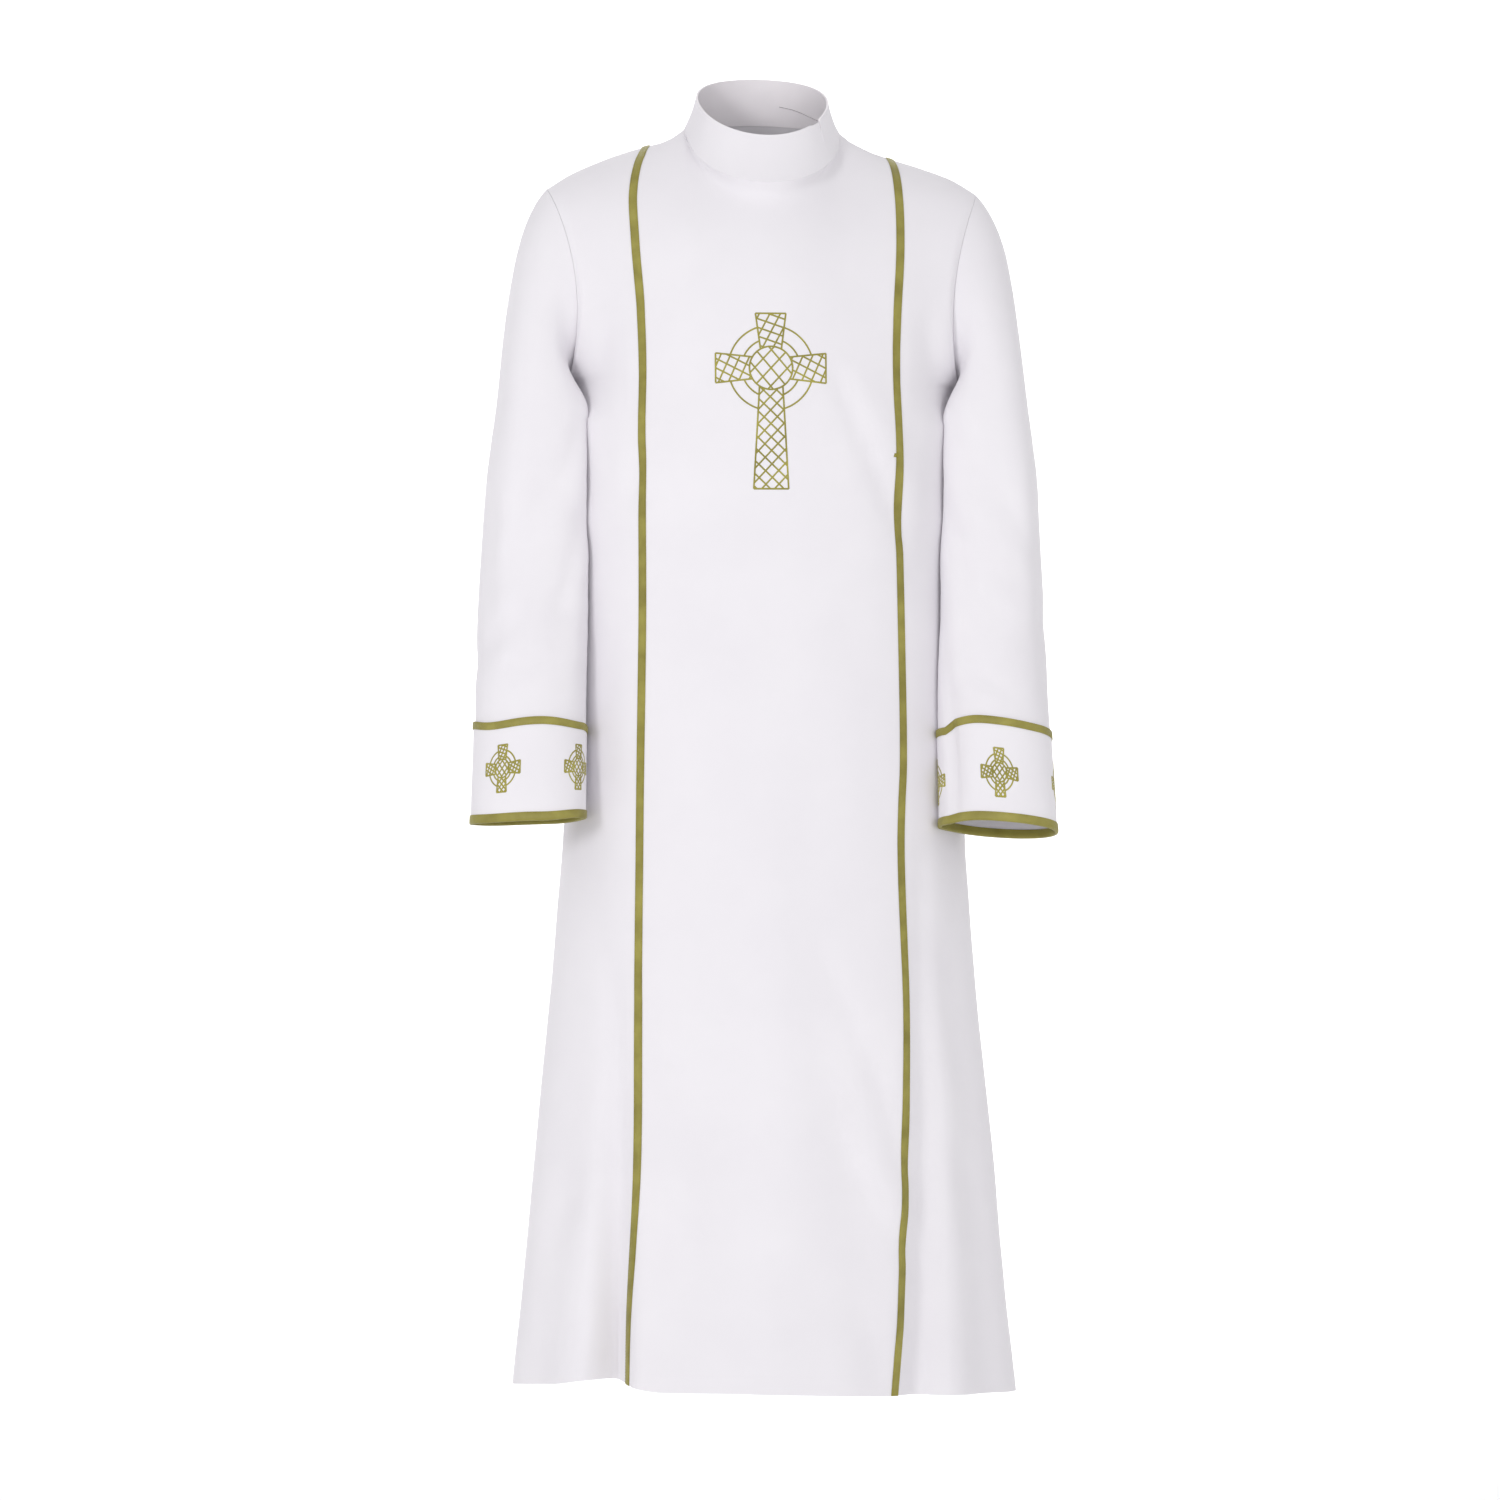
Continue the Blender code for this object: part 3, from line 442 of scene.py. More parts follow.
def body(place, level):
    """The robe's body. Place runs round it, and level from the hem, 0, by the chest, 1, to 2."""
    side = -1 if place < 0 else 1
    if level <= 1:
        rise = along(RISES, place).height
        height = CHEST + (HEM + rise - CHEST) * (1 - level)
        place = drifted(abs(place), side, height)
        return lean(ring_place(place, side, height))
    place = drifted(abs(place), side, CHEST * (2 - level))
    point = column(place, side, level)
    front = place <= 2
    pull = smooth(place - 1) if front else smooth((3.2 - place) / 1.2)
    if pull > 0:
        edge = side_edge(level, front)
        edge.x *= side
        point += (edge - column(2.0 if front else 2.0 + 1e-9, side, level)) * pull
    return lean(point)


print("the middle of the hem:", [round(v, 3) for v in body(0.0, 0.0)])

# %% The sleeves
def body_width(y, side, height):
    """The half width of the body on one side, at a depth and a height."""
    section = along(SECTIONS, min(height, CHEST))
    reach = abs(y) / (section.front if y < 0 else section.back)
    half = section.half_width + (section.flare if side > 0 else 0.0)
    return half * max(0.0, 1 - reach**section.roundness) ** (1 / section.roundness)


def sleeve_ring(angle, side, height):
    """A point of a sleeve below the bicep, kept clear of the body's side."""
    ring = along(RINGS, height)
    turned = math.radians(angle)
    bend = 2 / ring.roundness
    across = math.copysign(abs(math.cos(turned)) ** bend, math.cos(turned))
    forward = math.copysign(abs(math.sin(turned)) ** bend, math.sin(turned))
    half, middle = (ring.outer - ring.inner) / 2, (ring.outer + ring.inner) / 2
    press = 0.0
    for crease in CREASES:
        if crease.side == side:
            up = (height - crease.height) / crease.reach
            away = (angle - crease.angle - crease.swing * up + 180) % 360 - 180
            press += crease.depth * math.exp(-0.5 * (away / crease.width) ** 2 - 0.5 * up**2 * 4)
    share = smooth((BICEP - height) / (BICEP - CUFF_TOP))
    x = middle + (half - press) * across + CUFF_SWING[side] * share
    y = ring.middle - (ring.depth - press) * forward
    wall = body_width(y, side, height) + ARM_CLEAR
    x = wall + 0.5 * (x - wall + math.sqrt((x - wall) ** 2 + ARM_EASE**2))
    tilt = CUFF_TILT[side] * smooth((TILT_TOP - height) / (TILT_TOP - CUFF_TOP))
    slant = CUFF_SLANT[side] * share
    return Vector((x, y, height - tilt * (y - ring.middle) - slant * (x - middle)))


def cuff_wave(angle, side, run):
    """How the cuff's edges rise and fall round it, and its fold towards the body."""
    rows = WAVES[side]
    rows += (rows[0]._replace(angle=rows[0].angle + 360),)
    angle %= 360
    i = max(k for k in range(len(rows) - 1) if rows[k].angle <= angle)
    t = smooth((angle - rows[i].angle) / (rows[i + 1].angle - rows[i].angle))
    top, low, inward = (a + (b - a) * t for a, b in zip(rows[i][1:], rows[i + 1][1:]))
    share = smooth((run - WAVE_START) / (CUFF_RUN - WAVE_START))
    down = clamp((run - CUFF_RUN) / (2 - CUFF_RUN))
    return Vector((-inward * share, 0, (top + (low - top) * down) * share)) / 1000


def sleeve(angle, side, run):
    """A sleeve. Run goes from the armhole, 0, by the bicep, 1, to the cuff's end, 2."""
    if run >= 1:
        point = sleeve_ring(angle, side, BICEP + (CUFF_END - BICEP) * (run - 1))
    else:
        start, end = armhole(angle), sleeve_ring(angle, side, BICEP)
        turned = math.radians(angle)
        drop = 0.5 * (1 - math.cos(turned))
        leave = Vector((0.13 - 0.05 * drop, -0.02 * math.sin(turned), -0.13 + 0.10 * drop))
        arrive = Vector((0.018 + 0.012 * (1 - drop) ** 6, -0.006, -0.20 + 0.13 * drop))
        point = hermite(run, start, leave, end, arrive)
    if run > WAVE_START:
        point += cuff_wave(angle, side, run)
    point.x *= side
    return lean(point)


print("the left cuff's outer edge:", [round(v, 3) for v in sleeve(0, 1, 2)])

# %% The collar
def rim(angle):
    """The collar's upper edge."""
    turned = math.radians(angle)
    middle = (RIM["front"] + RIM["back"]) / 2
    swing = (RIM["high"] - RIM["low"]) / 2
    mean = (RIM["high"] + RIM["low"]) / 2
    saddle = (mean - RIM["side"]) / 2
    return Vector((
        RIM["half"] * math.sin(turned),
        middle - (RIM["back"] - RIM["front"]) / 2 * math.cos(turned),
        mean - saddle - swing * math.cos(turned) + saddle * math.cos(2 * turned),
    ))


def collar(angle, rise):
    """The collar. Angle is signed from the front, positive on the wearer's left."""
    side = -1 if angle < 0 or angle > 180 else 1
    turned = abs(angle) if angle <= 180 else 360 - angle
    low, high = neckline(turned), rim(turned)
    out = Vector((math.sin(math.radians(turned)), -math.cos(math.radians(turned)), 0))
    point = low.lerp(high, rise) - out * COLLAR_DIP * 4 * rise * (1 - rise)
    point.x *= side
    return lean(point)

# %% [markdown]
# ## The finishes
#
# The white cloth is a plain woven polyester with a very slightly cool white, a soft sheen at grazing angles,
# and a weave too fine to see from far off. Its threads run along the UV map, at three to the millimetre. The
# ribbon is olive-gold satin, painted darker in its dips as painted shade, with fine ribs across and a gloss
# that stretches along the ribbon. The embroidery is a brighter gold thread, with a satin stitch across each
# line and the same painted shade in its dips. The collar's inner faces are a paler white, as painted light
# against the shade inside the collar, and the line inside it is dark grey, as painted shade.

# %% Helpers for materials
RIDGE = 0.314  # the distance between the ridges of a wave node whose scale is 1


def start_material(name):
    material = bpy.data.materials.new(name)
    material.use_nodes = True
    tree = material.node_tree
    return material, tree, tree.nodes["Principled BSDF"]


def give(made, values):
    """Set the inputs of a node."""
    for key, value in values.items():
        made.inputs[key].default_value = value


def node(tree, kind, values=None, sources=None, **settings):
    """A new node, with its settings, the values of its inputs and what is linked to them."""
    made = tree.nodes.new(kind)
    for key, value in settings.items():
        setattr(made, key, value)
    give(made, values or {})
    for key, source in (sources or {}).items():
        tree.links.new(source, made.inputs[key])
    return made


def tinted(tree, shader, factor, dark, light, high=0.70):
    """The base colour, from dark to light along a factor."""
    ramp = node(tree, "ShaderNodeValToRGB", sources={"Fac": factor})
    for stop, place, colour in zip(ramp.color_ramp.elements, (0.30, high), (dark, light)):
        stop.position, stop.color = place, colour
    tree.links.new(ramp.outputs["Color"], shader.inputs["Base Color"])


def clouds(tree, where, scale, detail):
    made = node(tree, "ShaderNodeTexNoise", {"Scale": scale, "Detail": detail}, {"Vector": where})
    return made.outputs["Fac"]


def ridges(tree, direction, period, distortion, detail):
    """Even ridges along one direction of the UV map, a period apart in metres."""
    uv = node(tree, "ShaderNodeUVMap", uv_map="cloth").outputs["UV"]
    values = {"Scale": RIDGE / period, "Distortion": distortion, "Detail": detail}
    made = node(tree, "ShaderNodeTexWave", values, {"Vector": uv},
                wave_type="BANDS", bands_direction=direction)
    return made.outputs["Fac"]


def bump(tree, shader, heights):
    """Bumps on one another: (height, distance, strength) from coarse to fine."""
    below = None
    for height, distance, strength in heights:
        sources = {"Height": height, "Normal": below} if below else {"Height": height}
        made = node(tree, "ShaderNodeBump", {"Distance": distance, "Strength": strength}, sources)
        below = made.outputs["Normal"]
    tree.links.new(below, shader.inputs["Normal"])


# %% White cloth
WEAVE = 0.00034
WHITE_CLEAR = (0.818, 0.795, 0.832, 1.0)
WHITE_DEEP = (0.792, 0.768, 0.808, 1.0)


def white_cloth(name, deep, clear):
    """White cloth in a plain weave, whose threads go over and under in both directions."""
    material, tree, shader = start_material(name)
    where = node(tree, "ShaderNodeTexCoord").outputs["Object"]
    tinted(tree, shader, clouds(tree, where, 9.0, 4.0), deep, clear)
    give(shader, {"Roughness": 0.78, "Specular IOR Level": 0.35,
                  "Sheen Weight": 0.12, "Sheen Roughness": 0.5})
    warp, weft = (ridges(tree, direction, WEAVE, 0.6, 1.0) for direction in ("X", "Y"))
    threads = node(tree, "ShaderNodeMath", sources={0: warp, 1: weft}, operation="MULTIPLY").outputs["Value"]
    bump(tree, shader, [(clouds(tree, where, 55.0, 3.0), 0.0012, 0.10), (threads, 0.00012, 0.35)])
    return material


white = white_cloth("white_cloth", WHITE_DEEP, WHITE_CLEAR)
# A paler white for the collar's inner faces: painted light against the shade inside the collar.
painted_light_white = white_cloth("collar_inside_painted_light", (0.890, 0.850, 0.885, 1.0), (0.910, 0.872, 0.905, 1.0))
# A dark grey for the line inside the collar: painted shade along the edge where the collar's ends overlap.
painted_shadow_line = white_cloth("painted_shadow_line", (0.300, 0.270, 0.295, 1.0), (0.340, 0.305, 0.335, 1.0))
print(white.name, painted_light_white.name, painted_shadow_line.name, "made")

# %% Gold ribbon and gold thread
# The dark colours go in the dips of the relief, as painted shade. The light colours go on the tops.
RIBBON_DARK = (0.225, 0.195, 0.028, 1.0)
RIBBON_LIGHT = (0.345, 0.305, 0.058, 1.0)
THREAD_DARK = (0.250, 0.218, 0.028, 1.0)
THREAD_LIGHT = (0.385, 0.342, 0.054, 1.0)


def gold_cloth(name, dark, light, rib, roughness):
    """Gold satin, with ribs across the piece's own length."""
    material, tree, shader = start_material(name)
    ribs = ridges(tree, "Y", rib, 1.2, 2.0)
    where = node(tree, "ShaderNodeTexCoord").outputs["Object"]
    relief_with_painted_shade = clouds(tree, where, 42.0, 3.0)
    # The colour follows the same noise as the relief, darker in the dips: painted shade.
    tinted(tree, shader, relief_with_painted_shade, dark, light, 0.72)
    give(shader, {"Roughness": roughness, "Sheen Weight": 0.12, "Sheen Roughness": 0.35, "Anisotropic": 0.4})
    bump(tree, shader, [(relief_with_painted_shade, 0.0006, 0.25), (ribs, 0.00015, 0.5)])
    return material


gold = gold_cloth("gold_ribbon", RIBBON_DARK, RIBBON_LIGHT, 0.00040, 0.46)
thread = gold_cloth("gold_thread", THREAD_DARK, THREAD_LIGHT, 0.00048, 0.40)
print(gold.name, thread.name, "made")

# %% [markdown]
# ## From a surface to a sheet of cloth
#
# A sheet starts as a grid of points on its surface. Its creases are added by moving each point a
# millimetre or two along the way the cloth faces, as a fingertip would press it. A second grid,
# moved in by the cloth's thickness, gives the inside, and a strip of faces closes the edges.
# Each sheet gets a UV map in metres, so that the weave has one size everywhere.

# %% Helpers for grids
def grid_of(surface, rows, columns):
    """The points of a surface as an array, one line of it for each row."""
    return np.array([[surface(column, row) for column in columns(row)] for row in rows])


def facings(grid, closed=False):
    """The direction that the cloth faces at each point of a grid."""
    if closed:
        run = np.roll(grid, -1, axis=1) - np.roll(grid, 1, axis=1)
    else:
        run = np.gradient(grid, axis=1)
    ways = np.cross(run, np.gradient(grid, axis=0))
    return ways / np.linalg.norm(ways, axis=2, keepdims=True)


def metres_along(grid):
    """Distances across and up a grid, in metres, for its UV map."""
    across = np.linalg.norm(np.diff(grid, axis=1), axis=2)
    across = np.concatenate([np.zeros((len(grid), 1)), np.cumsum(across, axis=1)], axis=1)
    across -= across[:, across.shape[1] // 2][:, None]
    middle = grid[:, grid.shape[1] // 2]
    up = np.concatenate([[0.0], np.cumsum(np.linalg.norm(np.diff(middle, axis=0), axis=1))])
    return np.stack([across, np.broadcast_to(up[:, None], across.shape)], axis=2)


def subdivided(marks, steps):
    """The marks with that many even steps between each two."""
    fine = []
    for first, last in zip(marks, marks[1:]):
        fine += [first + (last - first) * i / steps for i in range(steps)]
    return fine + [marks[-1]]


# %% Helpers that make a piece
def ride_as(piece, slot, *nodes):
    """The piece goes with the robe and stands for these solids, which it hides. The slot is not used."""
    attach(piece, "root")
    if nodes:
        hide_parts(*nodes)


def turned_out(mesh):
    """Make all the faces of a mesh point outwards."""
    fixer = bmesh.new()
    fixer.from_mesh(mesh)
    bmesh.ops.recalc_face_normals(fixer, faces=fixer.faces)
    fixer.to_mesh(mesh)
    fixer.free()


def new_mesh(name, points, faces, material, sure=False):
    """A mesh with its material. Where it isn't sure which way the faces point, they are turned."""
    mesh = bpy.data.meshes.new(name)
    mesh.from_pydata(points, [], faces)
    if not sure:
        turned_out(mesh)
    mesh.materials.append(material)
    return mesh


def corners_of(mesh):
    """The number of the point at each corner of each face."""
    corners = np.empty(len(mesh.loops), dtype=np.int64)
    mesh.loops.foreach_get("vertex_index", corners)
    return corners


def new_piece(mesh, uv, bend=None):
    """A piece from a mesh and its UV map. Edges are smooth up to a bend in degrees, if one is given."""
    mesh.uv_layers.new(name="cloth").data.foreach_set("uv", uv.reshape(-1))
    if bend:
        mesh.shade_smooth()
        mesh.set_sharp_from_angle(angle=math.radians(bend))
    piece = bpy.data.objects.new(mesh.name, mesh)
    bpy.context.scene.collection.objects.link(piece)
    print(f"{piece.name}: {len(mesh.polygons)} faces")
    return piece


# %% A helper that makes the shell
def shell(name, outer, inner, material, closed=False):
    """A closed shell between two grids, with a UV map in metres."""
    rows, columns = outer.shape[:2]
    size = rows * columns
    j = np.arange(columns if closed else columns - 1)
    k = (j + 1) % columns
    i = np.arange(rows - 1)[:, None] * columns
    face = np.stack([i + j, i + k, i + columns + k, i + columns + j], axis=2).reshape(-1, 4)
    top = (rows - 1) * columns
    parts = [face, size + face[:, ::-1], np.stack([size + j, size + k, k, j], axis=1),
             np.stack([top + j, top + k, size + top + k, size + top + j], axis=1)]
    if not closed:
        i = i[:, 0]
        last = i + columns - 1
        parts.append(np.stack([size + i, i, i + columns, size + i + columns], axis=1))
        parts.append(np.stack([last, size + last, size + last + columns, last + columns], axis=1))
    points = np.concatenate([outer.reshape(-1, 3), inner.reshape(-1, 3)])
    mesh = new_mesh(name, points.tolist(), np.concatenate(parts).tolist(), material, sure=True)
    flat = metres_along(np.concatenate([outer, outer[:, :1]], axis=1) if closed else outer)
    corners = corners_of(mesh).reshape(-1, 4) % size
    uv = flat[:, :columns].reshape(-1, 2)[corners]
    if closed:
        wraps = (corners % columns == columns - 1).any(axis=1, keepdims=True)
        lost = wraps & (corners % columns == 0)
        uv[lost] = flat[:, -1][corners[lost] // columns]
    return new_piece(mesh, uv, bend=50)


# %% A helper for the creases
def pressed(across, up, rows):
    """How far the creases of a table press in at each place, each a soft line from end to end."""
    total = np.zeros_like(across)
    for row in rows:
        dx, dz = row.x1 - row.x0, row.z1 - row.z0
        t = np.clip(((across - row.x0) * dx + (up - row.z0) * dz) / (dx * dx + dz * dz), 0, 1)
        away = (across - row.x0 - t * dx) ** 2 + (up - row.z0 - t * dz) ** 2
        fade = 0.35 + 0.65 * np.sin(np.pi * (0.12 + 0.76 * t))
        total += row.depth * fade * np.exp(-away / (2 * row.width**2))
    return total


def slack(grid):
    """The small unevenness that any hanging cloth has, in metres."""
    flat = grid.reshape(-1, 3)
    found = [
        0.0016 * noise.noise(Vector((p[0] * 7, p[1] * 7, p[2] * 3.2)))
        + 0.0005 * noise.noise(Vector((p[0] * 24 + 5, p[1] * 24, p[2] * 13)))
        for p in flat
    ]
    return np.array(found).reshape(grid.shape[:2])


print("helpers ready")

# %% [markdown]
# ## The front
#
# The front is cut in three: a centre panel, and a side panel on each side, joined by long seams
# that run from the shoulder to the hem. The ribbons are sewn over these seams. All three panels
# are slices of one grid, so their creases run on from one to the next under the ribbons. The
# folds of the skirt are in the surface already. What is added here are the softer creases that
# the photograph shows, in millimetres, each from one point to another.

# %% Rows and columns of the body
THICK = 0.0012
SEAM = 0.00015


def body_rows():
    lower = subdivided([i / HEM_LEVELS for i in range(HEM_LEVELS)] + [1.0], 7)
    steps = len(ARMHOLE_ANGLES) - 1
    upper = [ARMPIT_LEVEL + (2 - ARMPIT_LEVEL) * i / steps for i in range(steps + 1)]
    return lower[:-1] + subdivided([1.0, 1.07, ARMPIT_LEVEL], 4)[:-1] + subdivided(upper, 4)


def beside(side, metres, level):
    """The place at this distance outward from a ribbon's seam."""
    span = (body(side * 1.03, level) - body(side * 0.99, level)).length / 0.04
    return side * (1 + metres / span)


def ribbon_seam(side, level):
    """The places across a ribbon, which is pressed a little wider towards the hem."""
    half = RIBBON_WIDTH / 2 * (1 + RIBBON_SPREAD[side] * (1 - smooth(level / 0.5)))
    return [abs(beside(side, metres, level)) for metres in (-half, -half / 2, 0.0, half / 2, half)]


def front_columns(level):
    neck = subdivided([0.0, NECK_PLACE], 20)
    left = neck + subdivided([NECK_PLACE, 0.95], 9)[1:]
    left += ribbon_seam(1, level)
    outer = subdivided([1.075, 1.145, 1.28, 1.52, 1.80, 2.0], 5)
    right = neck[1:] + subdivided([NECK_PLACE, 0.95], 9)[1:]
    right += ribbon_seam(-1, level)
    return [-place for place in (right + outer)[::-1]] + left + outer


def back_columns(level):
    half = subdivided(list(BACK_PLACES), 5) + subdivided([BACK_NECK_PLACE, 4.0], 24)[1:]
    half[0] += 1e-7
    return half + [-place for place in half[-2::-1]]


ROWS = body_rows()
front_grid = grid_of(body, ROWS, front_columns)
back_grid = grid_of(body, ROWS, back_columns)
print("front:", front_grid.shape, "back:", back_grid.shape)

# %% Where the front and the back meet, they face the same way
below = [i for i, level in enumerate(ROWS) if level < ARMPIT_LEVEL + 1e-6]


def body_facings():
    """The facings of the front and the back, with their mean along the side seams."""
    front, back = facings(front_grid), facings(back_grid)
    for first, second in ((-1, 0), (0, -1)):
        mean = front[below, first] + back[below, second]
        mean /= np.linalg.norm(mean, axis=1, keepdims=True)
        front[below, first] = back[below, second] = mean
    return front, back


front_ways, back_ways = body_facings()
print("rows below the armpit:", len(below))

# %% Ease the cloth below the neck
def eased(grid, level, passes):
    """The grid smoothed across its columns above the chest, moved only in or out."""
    share = np.clip((level - 1.0) / 0.25, 0, 1) * np.clip((1.995 - level) / 0.12, 0, 1)
    weight = np.tile(share[:, None], (1, grid.shape[1]))
    edge = np.minimum(np.arange(grid.shape[1]), np.arange(grid.shape[1])[::-1])
    weight *= np.clip((edge - 2) / 8, 0, 1)[None, :]
    for _ in range(passes):
        way = facings(grid)
        gap = (np.roll(grid, 1, axis=1) + np.roll(grid, -1, axis=1)) / 2 - grid
        grid = grid + way * ((gap * way).sum(axis=2) * 0.5 * weight)[..., None]
    return grid


before = front_grid.copy()
front_grid = eased(front_grid, np.array(ROWS), 260)
moved = np.linalg.norm(front_grid - before, axis=2)
print("eased by up to", round(float(moved.max()) * 1000, 1), "mm")

# %% Creases of the front and the back
# Each row is a soft trough, or with a minus sign a ridge: its two ends, across and up, how wide
# it is from its middle to its flank, and how deep, all in millimetres.
CREASE_LINE = "Crease_line", "x0 z0 x1 z1 width depth"
FRONT_CREASES = (
    (71, -257, 139, -415, 9, 4.2), (96, -268, 150, -372, 13, -2.9), (-147, -388, -131, -336, 8, 2.9),
    (-140, -300, -118, -215, 12, 2.2), (56, -856, 108, -972, 12, 3.8), (108, -972, 139, -1071, 9, 3.2),
    (92, -1045, 129, -1113, 11, -3.5), (82, -1066, 134, -1155, 10, 3.8), (82, -1155, 118, -1233, 12, -2.9),
    (-118, -903, -86, -1029, 13, 3.5), (-96, -1040, -74, -1180, 15, -2.6),
    (-196, -1076, -228, -1155, 11, 3.8), (-176, -815, -160, -945, 9, 2.6),
    (-205, -905, -212, -1060, 12, -2.2), (202, -1060, 224, -1155, 11, 3.8),
    (178, -830, 196, -960, 10, 2.7), (8, -493, 9, -630, 15, 1.4), (82, -493, 84, -546, 13, 1.4),
    (-102, -483, -100, -630, 14, 1.8), (-60, -560, -52, -760, 20, -1.4), (38, -640, 46, -850, 20, 1.4),
    (-30, -800, -22, -1010, 22, 1.6), (24, -1010, 30, -1210, 20, -1.6), (60, -130, 112, -178, 12, 1.4),
    (-58, -128, -108, -170, 12, 1.4), (-168, -205, -182, -275, 9, 2.6), (168, -200, 184, -275, 9, 2.7),
    (-172, -320, -160, -470, 10, 1.9), (176, -330, 160, -460, 10, 2.1), (-164, -520, -170, -700, 11, 2.1),
    (166, -540, 172, -730, 11, 1.9), (-184, -205, -178, -262, 11, -3.5), (188, -205, 182, -262, 11, -3.5),
    (-196, -262, -190, -400, 10, -2.4), (198, -262, 192, -400, 10, -2.4), (-190, -400, -202, -730, 10, -1.8),
    (194, -400, 206, -730, 10, -1.8),
)
BACK_CREASES = (
    (-60, -62, -96, -170, 13, 2.1), (58, -58, 98, -176, 13, 2.2), (0, -80, 4, -230, 16, 1.4),
    (-168, -195, -150, -300, 10, 2.8), (166, -190, 152, -305, 10, 2.7), (-120, -330, -90, -480, 14, 2.5),
    (124, -350, 88, -490, 14, 2.4), (-40, -440, -52, -640, 18, 1.7), (36, -420, 50, -610, 18, -1.5),
    (-150, -560, -160, -760, 12, 2.2), (148, -540, 162, -770, 12, 2.2), (-90, -700, -104, -920, 16, 2.4),
    (70, -720, 84, -930, 16, 2.2), (-10, -780, -14, -1000, 20, -1.8), (-190, -880, -214, -1090, 12, 3.0),
    (186, -860, 212, -1100, 12, 3.0), (-120, -1000, -142, -1190, 13, 3.0), (112, -1010, 140, -1200, 13, 3.2),
    (-40, -1040, -52, -1230, 15, 2.2), (38, -1060, 46, -1240, 15, 2.2),
)
level = np.array(ROWS)[:, None]
free = np.clip((2 - level) / 0.10, 0, 1)
for grid, ways, rows in ((front_grid, front_ways, FRONT_CREASES), (back_grid, back_ways, BACK_CREASES)):
    lines = table(*CREASE_LINE, *([value / 1000 for value in row] for row in rows))
    depth = pressed(grid[..., 0], grid[..., 2], lines) + slack(grid)
    edge = np.minimum(1, np.arange(grid.shape[1]) / 5)
    held = np.where(level > ARMPIT_LEVEL, np.minimum(edge, edge[::-1])[None, :], 1.0)
    grid -= ways * (depth * free * held)[..., None]
    print(len(rows), "creases, up to", round(float(np.abs(depth).max()) * 1000, 1), "mm")
for first, second in ((-1, 0), (0, -1)):
    seam = 0.5 * (front_grid[below, first] + back_grid[below, second])
    front_grid[below, first] = back_grid[below, second] = seam
front_ways, back_ways = body_facings()

# %% [markdown]
# A panel is a slice of the grid. Its edges are drawn in by a little less than a fifth of a
# millimetre, so that a fine line shows where two panels are sewn together.

# %% Cut the panels
def drawn_in(grid, sides=False, top=False, bottom=False):
    """The grid with its seam edges moved in by half a seam's gap."""
    grid = grid.copy()

    def step(a, b):
        way = b - a
        return a + way / np.linalg.norm(way, axis=-1, keepdims=True) * SEAM

    if sides:
        grid[:, 0], grid[:, -1] = step(grid[:, 0], grid[:, 1]), step(grid[:, -1], grid[:, -2])
    if top:
        grid[-1] = step(grid[-1], grid[-2])
    if bottom:
        grid[0] = step(grid[0], grid[1])
    return grid


def cut_panel(name, solid, grid, ways, flat, area=None):
    outer = drawn_in(grid, sides=True, top=True)
    inner = drawn_in(grid - ways * THICK, sides=True, top=True)
    piece = shell(name, outer, inner, white)
    ride_as(piece, "white_cloth", solid)


RIGHT_SEAM, LEFT_SEAM = (i for i, place in enumerate(front_columns(1.0)) if abs(abs(place) - 1) < 1e-6)
CENTRE = slice(RIGHT_SEAM, LEFT_SEAM + 1)
for name, solid, cut, flat, area in (
    ("front_panel_cloth", "front_panel", CENTRE, (0.300, 1.310), None),
    ("front_side_right_cloth", "front_side_right", slice(None, RIGHT_SEAM + 1), (0.200, 1.320), 0.190),
    ("front_side_left_cloth", "front_side_left", slice(LEFT_SEAM, None), (0.200, 1.320), 0.190),
):
    cut_panel(name, solid, front_grid[:, cut], front_ways[:, cut], flat, area)
cut_panel("back_cloth", "back", back_grid, back_ways, (0.760, 1.400), 0.800)

# %% [markdown]
# ## The ribbons of the front
#
# A satin ribbon covers each front seam, from the shoulder to the hem. It is a strip a little
# under nine millimetres wide, pressed somewhat wider towards the hem. It is stitched down at
# both edges, so its middle stands a little prouder than its sides. Its middle and edges are the
# columns of the front grid beside the seam, lifted.

# %% Make the front ribbons
CROWN = np.array([0.0007, 0.0010, 0.0011, 0.0010, 0.0007])
RIBBON_UNDER = 0.0002


def turned_uv(piece):
    """Swap the UV map's directions, for a ribbon that runs across its grid."""
    layer = piece.data.uv_layers["cloth"]
    uv = np.empty(len(layer.data) * 2)
    layer.data.foreach_get("uv", uv)
    layer.data.foreach_set("uv", uv.reshape(-1, 2)[:, ::-1].reshape(-1))


for hand, at in (("right", RIGHT_SEAM), ("left", LEFT_SEAM)):
    cut = slice(at - 2, at + 3)
    under, ways = front_grid[:, cut], front_ways[:, cut]
    outer = drawn_in(under + ways * CROWN[None, :, None], top=True)
    inner = drawn_in(under + ways * RIBBON_UNDER, top=True)
    ribbon = shell(f"front_ribbon_{hand}_satin", outer, inner, gold)
    ride_as(ribbon, "gold_ribbon", f"front_ribbon_{hand}")

# %% [markdown]
# ## The sleeves
#
# Each sleeve is a tube set into its armhole. It hangs down and a little forward, as a slightly
# bent arm would carry it, with drag lines from the armpit and soft wrinkles at the elbow. The
# creases are placed by an angle round the sleeve, with the outer side at 0 and the front at 90
# degrees, and by a height.

